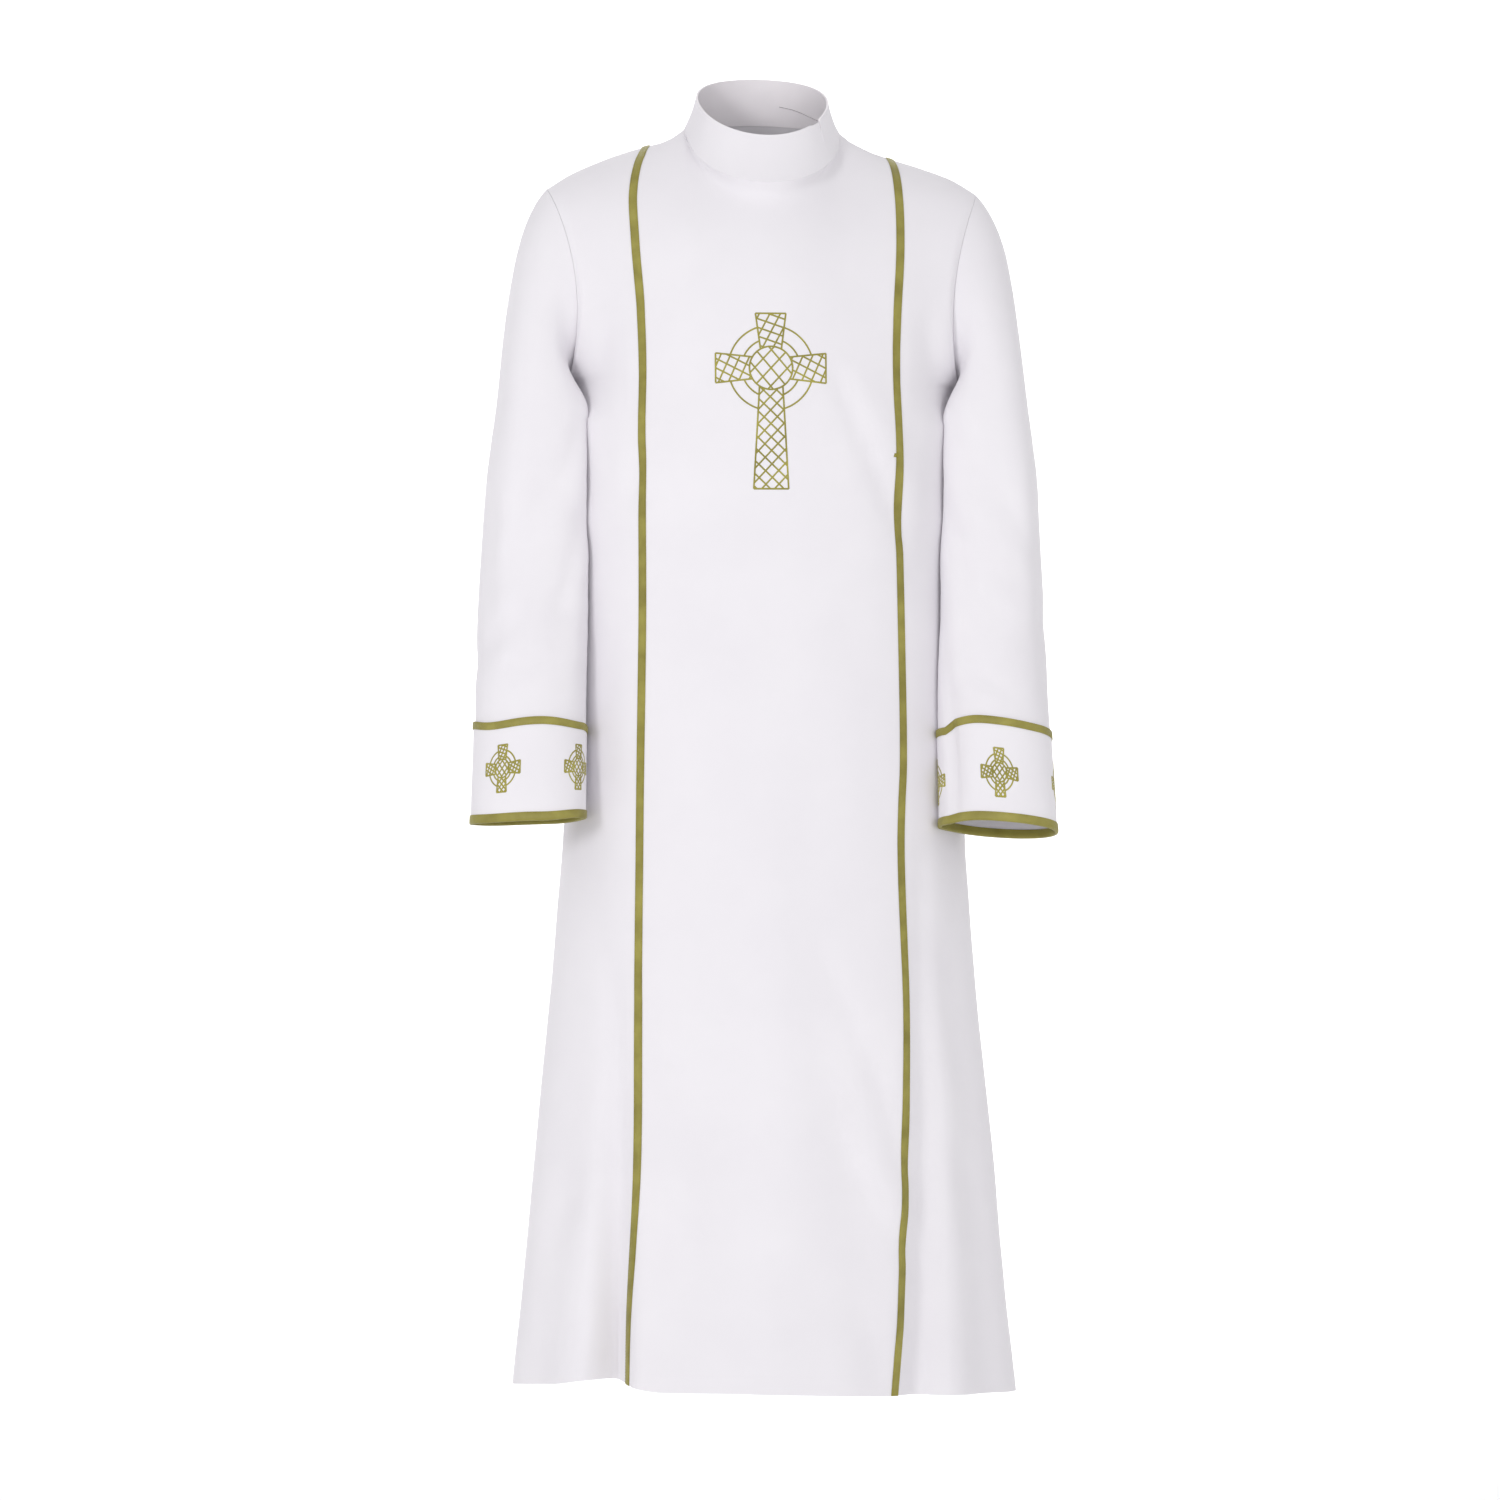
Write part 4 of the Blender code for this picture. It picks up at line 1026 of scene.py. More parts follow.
# %% Creases of the sleeves
# Rows as for the body, but the places across are angles in degrees.
SLEEVE_CREASES = {
    -1: (
        (128, -300, 60, -455, 10, 3.3), (150, -330, 105, -520, 9, 2.7), (66, -283, 58, -493, 14, -2.4),
        (134, -215, 138, -290, 11, -4.0), (138, -290, 132, -600, 12, -3.0), (120, -535, 70, -560, 8, 3.6),
        (132, -575, 84, -598, 8, 3.0), (95, -480, 140, -510, 9, 2.2), (30, -380, 44, -560, 12, 2.0),
        (10, -160, 24, -330, 14, 1.7), (96, -150, 104, -260, 12, 2.2), (205, -310, 262, -470, 11, 3.2),
        (230, -540, 290, -575, 9, 3.0), (300, -200, 286, -420, 13, 2.1), (320, -440, 300, -600, 12, 2.0),
    ),
    1: (
        (134, -288, 46, -441, 10, 3.4), (150, -340, 96, -500, 9, 2.8), (118, -556, 74, -588, 8, 3.6),
        (136, -590, 92, -604, 8, 2.8), (58, -330, 50, -520, 14, -2.1), (134, -215, 138, -290, 11, -4.0),
        (138, -290, 130, -600, 12, -3.0), (84, -500, 132, -530, 9, 2.1), (24, -400, 34, -590, 12, 1.8),
        (12, -150, 20, -320, 14, 1.7), (94, -150, 100, -250, 12, 2.4), (208, -300, 258, -450, 11, 3.0),
        (226, -545, 284, -590, 9, 3.2), (304, -210, 290, -400, 13, 2.0), (326, -420, 306, -590, 12, 2.1),
    ),
}
TURN_LENGTH = 0.400


def tube_creases(grid, side, angles):
    """The depth of a sleeve's creases, with their angles turned into lengths round the sleeve."""
    lines = table(*CREASE_LINE, *(
        (x0 / 360 * TURN_LENGTH, z0 / 1000, x1 / 360 * TURN_LENGTH, z1 / 1000, width / 1000, depth / 1000)
        for x0, z0, x1, z1, width, depth in SLEEVE_CREASES[side]
    ))
    across = np.broadcast_to(np.array(angles) / 360 * TURN_LENGTH, grid.shape[:2])
    return pressed(across, grid[..., 2], lines)


print("creases on each sleeve:", len(SLEEVE_CREASES[1]))

# %% Make the sleeves
ROUND = subdivided(list(ARMHOLE_ANGLES), 4)
ROUND = ROUND + [360 - angle for angle in ROUND[-2:0:-1]]
HANDS = ((-1, "right"), (1, "left"))


def make_sleeve(side, hand):
    """A sleeve's cloth. Its grid's angles are given back for the cuff."""
    angles = ROUND if side < 0 else ROUND[::-1]
    runs = subdivided([0.0, 1.0], 26)[:-1] + subdivided([1.0, CUFF_RUN], 44)
    grid = grid_of(lambda angle, run: sleeve(angle, side, run), runs, lambda run: angles)
    ways = facings(grid, closed=True)
    held = np.minimum(1, np.minimum(np.arange(len(runs)), np.arange(len(runs))[::-1]) / 5)
    grid -= ways * ((tube_creases(grid, side, angles) + slack(grid)) * held[:, None])[..., None]
    outer = drawn_in(grid, top=True, bottom=True)
    inner = drawn_in(grid - facings(grid, closed=True) * THICK, top=True, bottom=True)
    piece = shell(f"sleeve_{hand}_cloth", outer, inner, white, closed=True)
    ride_as(piece, "white_cloth", f"sleeve_{hand}")
    return angles


sleeve_angles = {hand: make_sleeve(side, hand) for side, hand in HANDS}

# %% [markdown]
# ## The cuffs
#
# A cuff is a band about ten centimetres deep, laid over the sleeve's end. A ribbon covers its
# upper edge. A wider ribbon is folded over its lower edge, half outside and half inside, so that
# no raw edge shows. The fold is a little rounded, because ribbon doesn't crease to a knife edge.

# %% Make the cuffs
HEIGHT = abs(CUFF_END - CUFF_TOP)
RIBBON_SHARE, BINDING_SHARE = CUFF_RIBBON / HEIGHT, 1 - BINDING / HEIGHT
SHARES = subdivided([0.0, RIBBON_SHARE], 4)[:-1]
SHARES += subdivided([RIBBON_SHARE, BINDING_SHARE], 14)[:-1] + subdivided([BINDING_SHARE, 1.0], 4)
CUFF_THICK = 0.0018
CUFF_GROOVE, GROOVE_ANGLE, GROOVE_WIDTH = 0.0032, 147, 4
GROOVE_FADE = 1 - np.array(SHARES)[:, None] ** 2
cuff_faces = {}


def make_cuff(side, hand):
    """A cuff with its ribbon and its binding."""
    angles = sleeve_angles[hand]
    runs = [CUFF_RUN + (2 - CUFF_RUN) * share for share in SHARES]
    grid = grid_of(lambda angle, run: sleeve(angle, side, run), runs, lambda run: angles)
    depth = 0.4 * slack(grid)
    if side > 0:
        groove = np.exp(-0.5 * ((np.array(angles) - GROOVE_ANGLE) / GROOVE_WIDTH) ** 2)
        depth += CUFF_GROOVE * groove[None, :] * GROOVE_FADE
    grid += facings(grid, closed=True) * (CUFF_STEP - depth)[..., None]
    ways = facings(grid, closed=True)
    inner = drawn_in(grid - ways * CUFF_THICK, bottom=True)
    piece = shell(f"cuff_{hand}_cloth", drawn_in(grid, bottom=True), inner, white, closed=True)
    ride_as(piece, "white_cloth", f"cuff_{hand}")
    cuff_faces[hand] = (grid, ways)
    ribbon = shell(f"cuff_ribbon_{hand}_satin", grid[:5] + ways[:5] * CROWN[:, None, None],
                   grid[:5] + ways[:5] * RIBBON_UNDER, gold, closed=True)
    turned_uv(ribbon)
    ride_as(ribbon, "gold_ribbon", f"cuff_ribbon_{hand}")
    make_binding(hand, grid, ways)


# The fold of the binding: a row of the cuff counted from its lower edge, and in millimetres how
# far the ribbon stands out from the cuff's face there and how far it hangs below the edge.
BINDING_ROWS = (
    (-5, 0.7, 0.0), (-4, 1.0, 0.0), (-3, 1.1, 0.0), (-2, 1.1, 0.0), (-1, 1.0, 0.0),
    (-1, 0.5, 0.9), (-1, -0.9, 1.2), (-1, -2.3, 0.9),
    (-1, -2.8, 0.0), (-2, -2.9, 0.0), (-3, -2.9, 0.0), (-4, -2.8, 0.0), (-5, -2.5, 0.0),
)
BINDING_THICK = 0.0007


def make_binding(hand, grid, ways):
    """The folded ribbon: rows down the outside, round the fold and up the inside."""
    middle = -CUFF_THICK / 2
    outer, inner = [], []
    for row, lift, down in BINDING_ROWS:
        line, way = grid[row], ways[row]
        fall = np.array([0, 0, -down / 1000])
        outer.append(line + way * lift / 1000 + fall)
        to_middle = (middle * 1000 - lift) / 1000
        step = np.clip(abs(to_middle) - BINDING_THICK, 0, None) / max(abs(to_middle), 1e-9)
        inner.append(line + way * (middle - to_middle * min(step, 1.0)) + fall * (0.45 if down else 1))
    piece = shell(f"cuff_binding_{hand}_satin", np.array(outer), np.array(inner), gold, closed=True)
    turned_uv(piece)
    ride_as(piece, "gold_ribbon", f"cuff_binding_{hand}")


for side, hand in HANDS:
    make_cuff(side, hand)

# %% [markdown]
# ## The collar
#
# The collar is a standing band of stiffened cloth. It is cut in one strip that meets at the wearer's left
# front, in a slit, where one end stands a few millimetres lower than the other. Its inner faces are painted
# a paler white, as painted light against the shade inside it. A second line inside, a dark grey strip of
# painted shade from the slit round towards the back, marks where the ends overlap.

# %% Make the collar
COLLAR_THICK = 0.0020


def collar_round():
    front = subdivided([0.0, COLLAR_SLIT], 20)[:-1] + subdivided([COLLAR_SLIT, 90.0], 12)
    whole = front + subdivided([90.0, 180.0], 36)[1:]
    whole += [360 - angle for angle in whole[-2::-1]]
    start = whole.index(COLLAR_SLIT)
    return whole[start:] + [360 + angle for angle in whole[1 : start + 1]]


def signed(angle):
    angle %= 360
    return angle - 360 if angle > 180 else angle


RISES_UP = subdivided([0.0, 1.0], 12)
collar_grid = grid_of(lambda angle, rise: collar(signed(angle), rise), RISES_UP, lambda rise: collar_round())
collar_ways = facings(collar_grid)
held = np.minimum(1, np.arange(len(RISES_UP)) / 3)[:, None]
collar_grid -= collar_ways * (0.5 * slack(collar_grid) * held)[..., None]
nick = np.zeros(collar_grid.shape[1])
nick[-6:] = np.linspace(0, 1, 6) ** 0.5
collar_grid[..., 2] -= COLLAR_NICK * nick[None, :] * (np.array(RISES_UP) ** 2)[:, None]
collar_ways = facings(collar_grid)
ends = collar_ways[:, 0] + collar_ways[:, -1]
collar_ways[:, 0] = collar_ways[:, -1] = ends / np.linalg.norm(ends, axis=1, keepdims=True)
outer = drawn_in(collar_grid, bottom=True)
inner = drawn_in(collar_grid - collar_ways * COLLAR_THICK, bottom=True)
outer[-3:, -1] += (outer[-3:, -2] - outer[-3:, -1]) * 0.25
inner[-3:, -1] += (inner[-3:, -2] - inner[-3:, -1]) * 0.25
band = shell("collar_cloth", outer, inner, white)
# The faces that look inwards take the paler white: painted light inside the collar.
band.data.materials.append(painted_light_white)
for face in band.data.polygons:
    face.material_index = int(face.normal.x * face.center.x + face.normal.y * face.center.y < 0)
ride_as(band, "white_cloth", "collar")

# %% [markdown]
# ## The embroidery
#
# A cross with a ring stands on the chest, and smaller ones stand round each cuff. They are
# worked in gold thread, as lines about two millimetres wide: an outline, two rings between the
# arms, a circle in the middle, and a lattice of slanting lines in each arm. The drawing is made
# flat, in millimetres, and each line is then laid on the cloth as a low rounded strip.

# %% Draw the cross
RING_RADII = (30.3, 44.0)
CIRCLE = 22.3


def sampled(start, end, step=1.5):
    count = max(2, int(math.dist(start, end) / step) + 1)
    return [tuple(a + (b - a) * i / (count - 1) for a, b in zip(start, end)) for i in range(count)]


def runs_of(points, keep):
    """The stretches of a line whose points are kept."""
    runs, run = [], []
    for point in points:
        if keep(point):
            run.append(point)
        elif run:
            runs.append(run)
            run = []
    return [run for run in runs + [run] if len(run) > 1]


def trapezium(direction, near, far, start, end):
    """An arm of the cross: its corners, from its root to its tip."""
    dx, dy = direction
    return [(dx * along_it - dy * half, dy * along_it + dx * half)
            for along_it, half in ((start, near), (end, far), (end, -far), (start, -near))]


def within(point, corners, slack_mm=0.0):
    signs = []
    for (x0, y0), (x1, y1) in zip(corners, corners[1:] + corners[:1]):
        size = math.hypot(x1 - x0, y1 - y0)
        signs.append(((x1 - x0) * (point[1] - y0) - (y1 - y0) * (point[0] - x0)) / size)
    return max(signs) < slack_mm or min(signs) > -slack_mm


def lattice(corners, angle, spacing, offset=0.0):
    """Parallel lines across an arm, cut to its outline."""
    turned = math.radians(angle)
    way, side = (math.cos(turned), math.sin(turned)), (-math.sin(turned), math.cos(turned))
    cx = sum(x for x, _ in corners) / 4
    cy = sum(y for _, y in corners) / 4
    lines = []
    for i in range(-12, 13):
        out = i * spacing + offset
        x, y = cx + side[0] * out, cy + side[1] * out
        line = sampled((x - way[0] * 90, y - way[1] * 90), (x + way[0] * 90, y + way[1] * 90), 0.75)
        for run in runs_of(line, lambda p: within(p, corners) and math.hypot(*p) > CIRCLE):
            lines.append(run[::2] + ([run[-1]] if len(run) % 2 == 0 else []))
    return [line for line in lines if len(line) > 2]


ARM_ROOT = 18.0
LIFT = dict(under=0.34, over=0.40, ring=0.46, outline=0.50, circle=0.52)


def cross_drawing(foot, foot_half):
    """The lines of a cross as (points, height): outlines stand highest."""
    arms = [
        (trapezium((0, 1), 10.6, 15.7, ARM_ROOT, 56.6), (62, 9.6), (-19, 8.6)),
        (trapezium((1, 0), 11.2, 15.4, ARM_ROOT, 57.0), (66, 9.2), (-27, 8.8)),
        (trapezium((-1, 0), 11.2, 15.4, ARM_ROOT, 57.0), (66, 9.2), (-27, 8.8)),
        (trapezium((0, -1), 12.0, foot_half, ARM_ROOT, foot), (47, 9.7), (-44, 9.7)),
    ]
    lines = []
    for corners, *families in arms:
        for (angle, spacing), height in zip(families, (LIFT["under"], LIFT["over"])):
            lines += [(line, height) for line in lattice(corners, angle, spacing)]
        for start, end in zip(corners, corners[1:]):
            for run in runs_of(sampled(start, end), lambda p: math.hypot(*p) > CIRCLE - 0.8):
                lines.append((run, LIFT["outline"]))
    for radius in RING_RADII:
        arc = [(radius * math.cos(t), radius * math.sin(t)) for t in np.radians(np.arange(45, 406, 1.5))]
        for run in runs_of(arc, lambda p: not any(within(p, arm[0], -0.3) for arm in arms)):
            lines.append((run, LIFT["ring"]))
    for angle, height in ((47, LIFT["under"]), (-50, LIFT["over"])):
        turned = math.radians(angle)
        for out in (-12.5, 0.0, 12.5):
            half = math.sqrt(CIRCLE**2 - out**2)
            x, y = -math.sin(turned) * out, math.cos(turned) * out
            way = math.cos(turned) * half, math.sin(turned) * half
            lines.append((sampled((x - way[0], y - way[1]), (x + way[0], y + way[1])), height))
    circle = [(CIRCLE * math.cos(t), CIRCLE * math.sin(t)) for t in np.radians(np.arange(0, 361, 4))]
    lines.append((circle, LIFT["circle"]))
    return lines


chest_drawing = cross_drawing(124.5, 18.0)
small_drawing = cross_drawing(56.6, 15.7)
print("lines in the large cross:", len(chest_drawing), "and in a small one:", len(small_drawing))

# %% Lay lines of thread on the cloth
PROFILE = ((-0.5, -0.12), (-0.32, 0.72), (0.0, 1.0), (0.32, 0.72), (0.5, -0.12))


def thread_strips(name, strokes, width, surface, material):
    """Rounded strips along strokes, laid on a surface: (across, up, height) to a point."""
    points, faces, flat = [], [], []
    count = len(PROFILE)
    for stroke, height in strokes:
        first_point, run = len(points), 0.0
        for i, (x, y) in enumerate(stroke):
            before, after = stroke[max(i - 1, 0)], stroke[min(i + 1, len(stroke) - 1)]
            dx, dy = after[0] - before[0], after[1] - before[1]
            size = math.hypot(dx, dy)
            if i:
                run += math.dist(stroke[i], stroke[i - 1])
            for out, up in PROFILE:
                lift = height * up if up > 0 else up
                points.append(surface(x - dy / size * width * out, y + dx / size * width * out, lift))
                flat.append(((out + 0.5) * width / 1000, run / 1000))
        for i in range(len(stroke) - 1):
            here = first_point + i * count
            for j in range(count):
                k = (j + 1) % count
                faces.append((here + j, here + k, here + count + k, here + count + j))
        end = first_point + (len(stroke) - 1) * count
        faces.append(tuple(first_point + j for j in reversed(range(count))))
        faces.append(tuple(end + j for j in range(count)))
    mesh = new_mesh(name, [tuple(p) for p in points], faces, material)
    return new_piece(mesh, np.array(flat)[corners_of(mesh)], bend=60)


# %% The cross on the chest
CHEST_CROSS = (0.0010, -0.2474)
CHEST_THREAD = 2.0
patch = front_grid[len(ROWS) // 3 :, CENTRE]
count = patch.shape[1]
quads = [(i * count + j, i * count + j + 1, (i + 1) * count + j + 1, (i + 1) * count + j)
         for i in range(patch.shape[0] - 1) for j in range(count - 1)]
chest = BVHTree.FromPolygons(patch.reshape(-1, 3).tolist(), quads)


def on_chest(across, up, lift):
    x, z = CHEST_CROSS[0] + across / 1000, CHEST_CROSS[1] + up / 1000
    hit, way, _, _ = chest.ray_cast(Vector((x, -1, z)), Vector((0, 1, 0)))
    return hit + (way if way.y < 0 else -way) * lift / 1000


cross = thread_strips("chest_cross", chest_drawing, CHEST_THREAD, on_chest, thread)
ride_as(cross, "gold_ribbon")

# %% The crosses on the cuffs
SMALL_ACROSS, SMALL_UP, SMALL_LIFT = 0.335, 0.432, 0.8
SMALL_THREAD = 1.80
CROSS_ANGLES = {"right": 62, "left": 92}
CROSS_RAISE = {"right": 0.0024, "left": -0.0040}


def cuff_surface(hand, angle, quarter):
    """A function that lays a drawing on a cuff, a number of quarters of the way round it."""
    grid, ways = cuff_faces[hand]
    ring = grid[len(SHARES) // 2]
    steps = np.linalg.norm(np.roll(ring, -1, axis=0) - ring, axis=1)
    arc = np.concatenate([[0.0], np.cumsum(steps)])
    start = arc[min(range(len(ring)), key=lambda j: abs(sleeve_angles[hand][j] - angle))]
    start += arc[-1] * quarter / 4

    def surface(across, up, lift):
        s = (start - across / 1000) % arc[-1]
        share = clamp(0.5 - (up / 1000 + CROSS_RAISE[hand]) / HEIGHT)
        j = int(np.searchsorted(arc, s, side="right")) - 1
        i = max(int(np.searchsorted(SHARES, share, side="right")) - 1, 0)
        i, k = min(i, len(SHARES) - 2), (j + 1) % len(ring)
        a, b = (s - arc[j]) / (arc[j + 1] - arc[j]), (share - SHARES[i]) / (SHARES[i + 1] - SHARES[i])

        def mixed(values):
            low = values[i, j] * (1 - a) + values[i, k] * a
            high = values[i + 1, j] * (1 - a) + values[i + 1, k] * a
            return low * (1 - b) + high * b

        return mixed(grid) + mixed(ways) * lift / 1000

    return surface


# The small crosses need only every second point of the drawing.
small_strokes = [
    ([(x * SMALL_ACROSS, y * SMALL_UP) for x, y in line[:-1:2] + [line[-1]]], height * SMALL_LIFT)
    for line, height in small_drawing
]
for hand in ("right", "left"):
    for quarter in range(4):
        surface = cuff_surface(hand, CROSS_ANGLES[hand], quarter)
        name = f"cuff_cross_{hand}_{quarter + 1}"
        ride_as(thread_strips(name, small_strokes, SMALL_THREAD, surface, thread), "gold_ribbon")

# %% [markdown]
# ## The sewing
#
# The ribbons are stitched down along both edges, the collar is topstitched along its seam and
# its rim, and the skirt has a narrow turned hem. A stitch is a small low bar of thread. Small
# even stitches in the colour of the cloth hardly show from far off, as in the photograph.

# %% One stitch
bpy.ops.object.select_all(action="DESELECT")
bpy.ops.mesh.primitive_cube_add(size=1, location=(0, 0, 0))
model = bpy.context.object
bpy.ops.object.mode_set(mode="EDIT")
edit = bmesh.from_edit_mesh(model.data)
for face in edit.faces:
    face.select_set(face.normal.z > 0.5)
bpy.ops.transform.resize(value=(0.72, 0.60, 1.0))
bpy.ops.object.mode_set(mode="OBJECT")
STITCH = np.array([tuple(v.co) for v in model.data.vertices]) + np.array([0, 0, 0.35])
STITCH_FACES = [tuple(face.vertices) for face in model.data.polygons]
bpy.data.objects.remove(model, do_unlink=True)
print("a stitch has", len(STITCH_FACES), "faces")

# %% Rows of stitches
Stitch = namedtuple("Stitch", "spacing length width height")
RIBBON_STITCH = Stitch(0.0031, 0.0022, 0.00036, 0.00022)
COLLAR_STITCH = RIBBON_STITCH._replace(height=0.00020)
HEM_STITCH = Stitch(0.0036, 0.0024, 0.00034, 0.00018)
TACK_STITCH = Stitch(0.0008, 0.0042, 0.0007, 0.0004)


def stitch_row(line, ways, stitch):
    """Places for stitches along a line: (middle, direction, outward) for each."""
    line, ways = np.asarray(line, dtype=float), np.asarray(ways, dtype=float)
    steps = np.linalg.norm(np.diff(line, axis=0), axis=1)
    arc = np.concatenate([[0.0], np.cumsum(steps)])
    spots = np.arange(stitch.spacing * 0.7, arc[-1] - stitch.spacing * 0.5, stitch.spacing)

    def at(places, values):
        return np.stack([np.interp(places, arc, values[:, k]) for k in range(3)], axis=1)

    middle = at(spots, line)
    way = at(spots + stitch.length / 2, line) - middle
    way /= np.linalg.norm(way, axis=1, keepdims=True)
    return list(zip(middle, way, at(spots, ways)))


def stitches(name, rows, stitch, material, slot):
    """One mesh of copies of the stitch, one for each place."""
    points, faces = [], []
    for middle, way, out in rows:
        across = np.cross(out, way)
        at = len(points)
        points += [middle + way * a * stitch.length + across * b * stitch.width + out * c * stitch.height
                   for a, b, c in STITCH]
        faces += [tuple(at + i for i in face) for face in STITCH_FACES]
    mesh = new_mesh(name, [tuple(point) for point in points], faces, material)
    flat = STITCH[:, [1, 0]] * (stitch.width, stitch.length)
    piece = new_piece(mesh, flat[corners_of(mesh) % len(STITCH)])
    ride_as(piece, slot)


# %% Stitch the ribbons, the hem and the collar
ON_RIBBON = 0.00095
EDGE_SHARE = 0.80
HEM_DEPTH = 0.018


def beside_ribbon(at, share):
    """A line on a ribbon, from its middle, 0, to its edge, 1."""
    near = int(math.copysign(2, share))
    middle, edge = front_grid[:-2, at], front_grid[:-2, at + near]
    ways = front_ways[:-2, at]
    return middle + (edge - middle) * abs(share) + ways * ON_RIBBON, ways


def at_height(grid, ways, height):
    """The line across a grid at a height above its lower edge."""
    up = np.linalg.norm(np.diff(grid[:6], axis=0), axis=2).cumsum(axis=0)
    line, out = [], []
    for j in range(grid.shape[1]):
        i = int(np.searchsorted(up[:, j], height))
        low = up[i - 1, j] if i else 0.0
        t = (height - low) / (up[i, j] - low)
        line.append(grid[i, j] * (1 - t) + grid[i + 1, j] * t)
        out.append(ways[i, j])
    return line, out


for hand, at in (("right", RIGHT_SEAM), ("left", LEFT_SEAM)):
    rows = [row for share in (-EDGE_SHARE, EDGE_SHARE)
            for row in stitch_row(*beside_ribbon(at, share), RIBBON_STITCH)]
    stitches(f"front_ribbon_{hand}_stitches", rows, RIBBON_STITCH, thread, "gold_ribbon")

rows = []
for grid, ways, cut in (
    (front_grid, front_ways, slice(None, RIGHT_SEAM - 2)),
    (front_grid, front_ways, slice(RIGHT_SEAM + 3, LEFT_SEAM - 2)),
    (front_grid, front_ways, slice(LEFT_SEAM + 3, None)),
    (back_grid, back_ways, slice(None)),
):
    rows += stitch_row(*at_height(grid[:, cut], ways[:, cut], HEM_DEPTH), HEM_STITCH)
stitches("hem_stitches", rows, HEM_STITCH, white, "white_cloth")

rows = []
for level in (1, len(RISES_UP) - 2):
    rows += stitch_row(collar_grid[level, 1:-1], collar_ways[level, 1:-1], COLLAR_STITCH)
stitches("collar_stitches", rows, COLLAR_STITCH, white, "white_cloth")
for hand in ("right", "left"):
    grid, ways = cuff_faces[hand]
    rows = []
    for place in (0.55, 3.45, len(SHARES) - 4.6):
        i, t = int(place), place % 1
        ring = grid[i] * (1 - t) + grid[i + 1] * t + ways[i] * ON_RIBBON
        rows += stitch_row(np.vstack([ring, ring[:1]]), np.vstack([ways[i], ways[i][:1]]), RIBBON_STITCH)
    stitches(f"cuff_{hand}_stitches", rows, RIBBON_STITCH, thread, "gold_ribbon")

# %% The line inside the collar, and a bar tack
# Angles round the collar, and shares of its height.
INNER_LINE = ((58.0, 0.62), (92.0, 0.22), (126.5, 0.24), (136.0, 0.30), (144.0, 0.36), (151.0, 0.40),
              (164.0, 0.44))
INNER_LIFT, INNER_WIDTH = 0.9, 1.1


def inside_collar(across, up, lift):
    """A point on the collar's inner face. Across is in tenths of a degree, and up in hundredths."""
    angle, rise = across / 10, up / 100
    run = collar(angle + 0.5, rise) - collar(angle - 0.5, rise)
    climb = collar(angle, rise + 0.02) - collar(angle, rise - 0.02)
    way = run.cross(climb).normalized()
    return collar(angle, rise) - way * (COLLAR_THICK + lift / 1000)


seam = []
for (a0, r0), (a1, r1) in zip(INNER_LINE, INNER_LINE[1:]):
    seam += [(10 * (a0 + (a1 - a0) * i / 8), 100 * (r0 + (r1 - r0) * i / 8)) for i in range(8)]
# The line is a low strip in dark grey: painted shade along the edge where the collar's ends overlap.
fold = thread_strips("collar_overlap_painted_shadow", [(seam, INNER_LIFT)], INNER_WIDTH, inside_collar, painted_shadow_line)
ride_as(fold, "white_cloth")

TACK_HEIGHT = -0.334
at = LEFT_SEAM - 2
row = int(np.argmin(np.abs(front_grid[:, at, 2] - TACK_HEIGHT)))
place, out = front_grid[row, at], front_ways[row, at]
tack = [(place + np.array([TACK_STITCH.spacing * i, 0, 0]) + out * 0.0010, np.array([0.25, 0.0, 0.97]), out)
        for i in range(-3, 4)]
stitches("ribbon_bar_tack", tack, TACK_STITCH, thread, "gold_ribbon")

# %% [markdown]
# ## The floor and the light
#
# The photograph has a plain white ground and light so soft that only the deepest folds show a
# shadow. The robe therefore hangs a little above a white floor that curves up far behind it,
# under a white sky, with a lamp in front on the left to shape the folds, a weaker one on the
# right, and two behind the robe that keep the ground white. The standard view shows white as
# white.

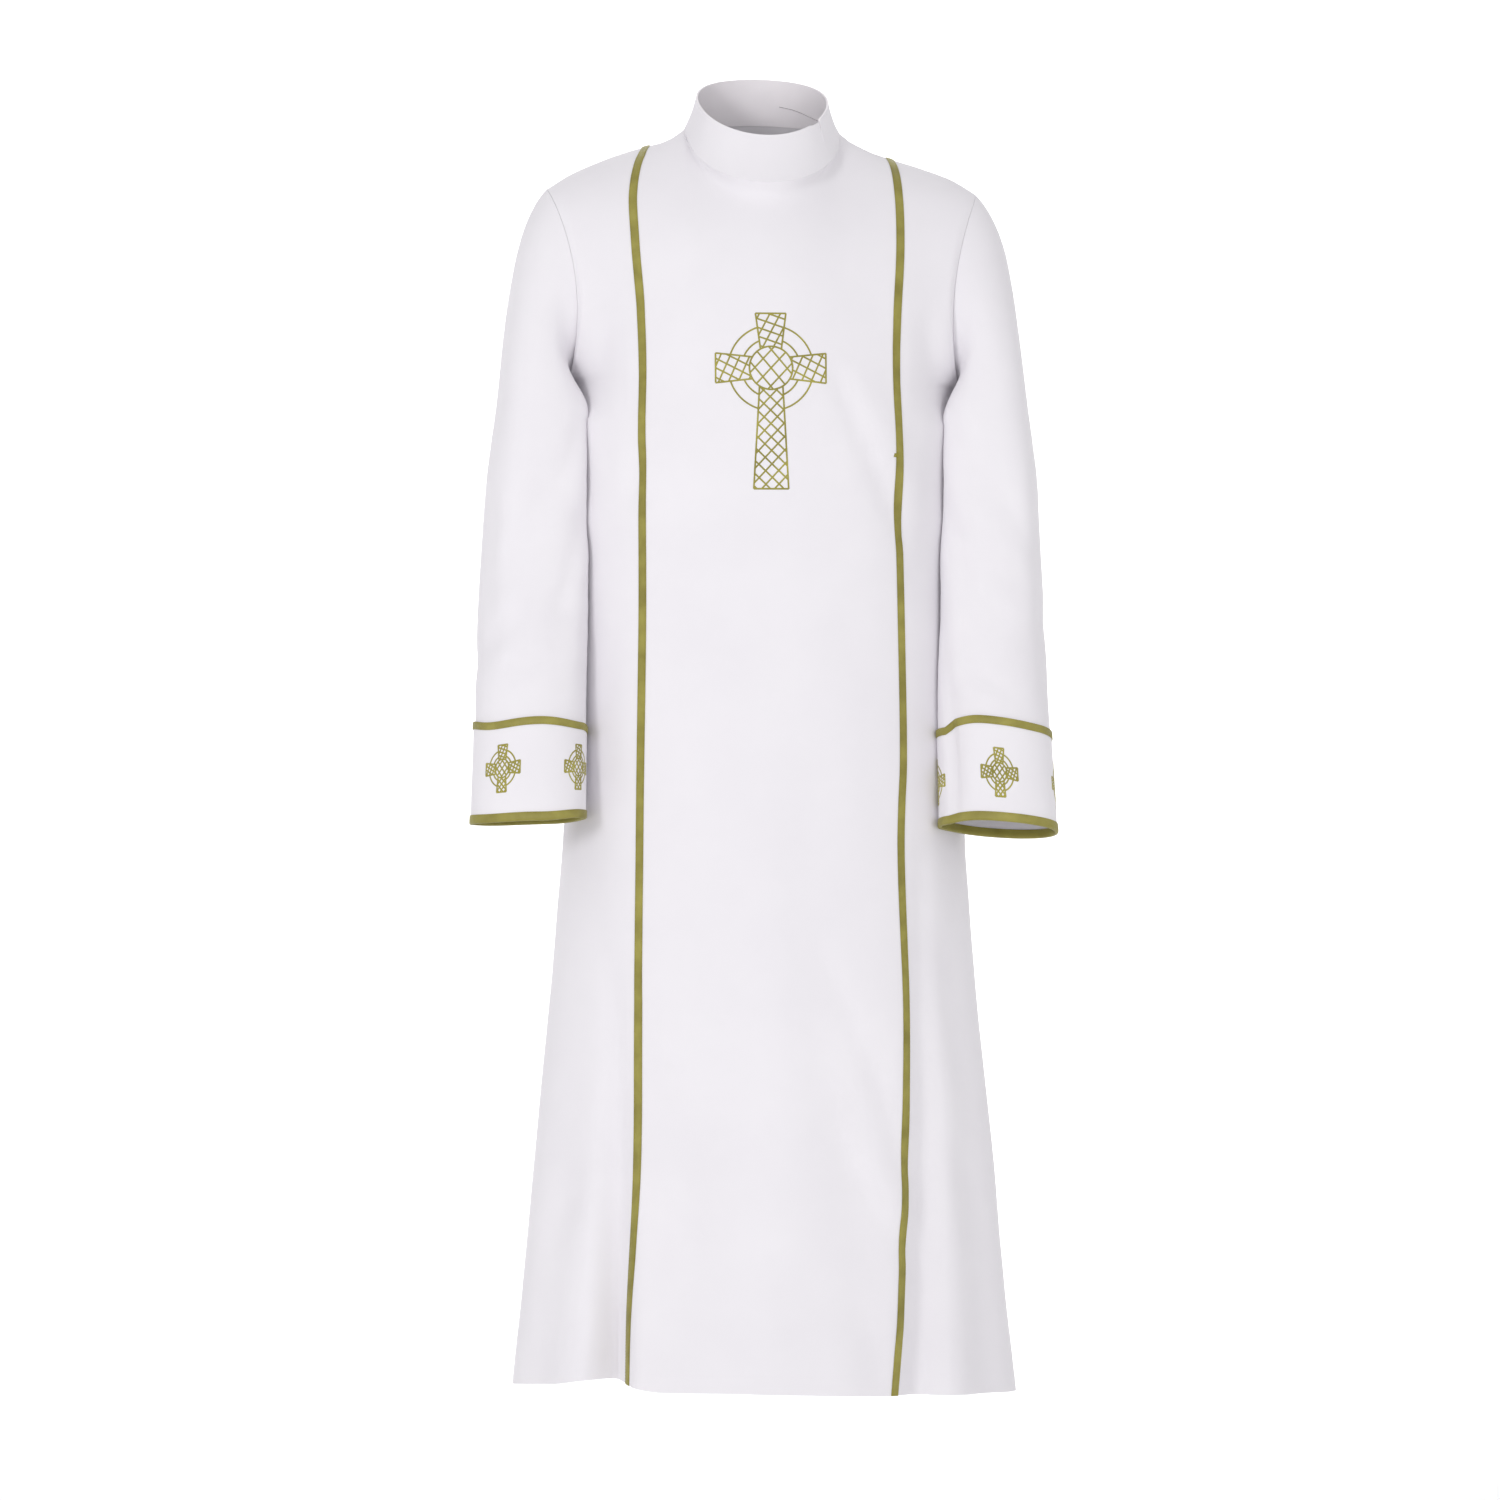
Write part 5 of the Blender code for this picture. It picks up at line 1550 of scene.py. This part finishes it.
# %% Floor and backdrop
FLOOR = -1.600
FLOOR_SIZE, FLOOR_MIDDLE = (60.0, 37.2, 1.0), (0, -11.4, FLOOR)
CURVE, STEPS, WALL = 1.8, 12, 5.2
bpy.ops.object.select_all(action="DESELECT")
bpy.ops.mesh.primitive_plane_add(size=1, location=FLOOR_MIDDLE)
floor = bpy.context.object
floor.name = "floor"
bpy.ops.object.mode_set(mode="EDIT")
bpy.ops.transform.resize(value=FLOOR_SIZE)
bpy.ops.mesh.select_mode(type="EDGE")
bpy.ops.mesh.select_all(action="DESELECT")
edit = bmesh.from_edit_mesh(floor.data)
max(edit.edges, key=lambda edge: sum(v.co.y for v in edge.verts)).select_set(True)
bmesh.update_edit_mesh(floor.data)
turns = [math.pi / 2 * i / STEPS for i in range(STEPS + 1)]
moves = [(CURVE * (math.sin(b) - math.sin(a)), CURVE * (math.cos(a) - math.cos(b)))
         for a, b in zip(turns, turns[1:])]
for forward, up in moves + [(0.0, WALL)]:
    bpy.ops.mesh.extrude_region_move(TRANSFORM_OT_translate={"value": (0.0, forward, up)})
bpy.ops.object.mode_set(mode="OBJECT")
bpy.ops.object.transform_apply(location=True, rotation=False, scale=False)
bpy.ops.object.shade_smooth()
print("floor:", len(floor.data.polygons), "faces")

# %% The floor's finish
paper, tree, shader = start_material("white_floor")
where = node(tree, "ShaderNodeTexCoord").outputs["Object"]
grain = clouds(tree, where, 3.0, 2.0)
tinted(tree, shader, grain, (0.96, 0.96, 0.96, 1), (0.98, 0.98, 0.98, 1))
give(shader, {"Roughness": 0.9})
floor.data.materials.append(paper)

# %% Light
def lamp(name, place, aim, size, power):
    bpy.ops.object.select_all(action="DESELECT")
    bpy.ops.object.light_add(type="AREA", location=place)
    made = bpy.context.object
    made.name = name
    made.data.shape = "DISK"
    made.data.size = size
    made.data.energy = power
    made.rotation_euler = (Vector(aim) - Vector(place)).to_track_quat("-Z", "Y").to_euler()


sky = bpy.data.worlds.new("studio")
sky.use_nodes = True
give(sky.node_tree.nodes["Background"], {"Color": (1.0, 1.0, 1.0, 1.0), "Strength": 0.70})
bpy.context.scene.world = sky
ROBE_MIDDLE = (0, 0, -0.7)
lamp("key", (-3.8, -4.8, 0.6), ROBE_MIDDLE, 1.4, 90)
lamp("fill", (2.8, -5.4, 0.8), ROBE_MIDDLE, 2.4, 54)
lamp("ground", (0, 4.6, 3.4), (0, 8.4, 0.0), 4.0, 300)
lamp("floor_lamp", (0, 3.2, 2.4), (0, 3.2, FLOOR), 2.5, 30)
bpy.context.scene.view_settings.view_transform = "Standard"
print("lamps ready")
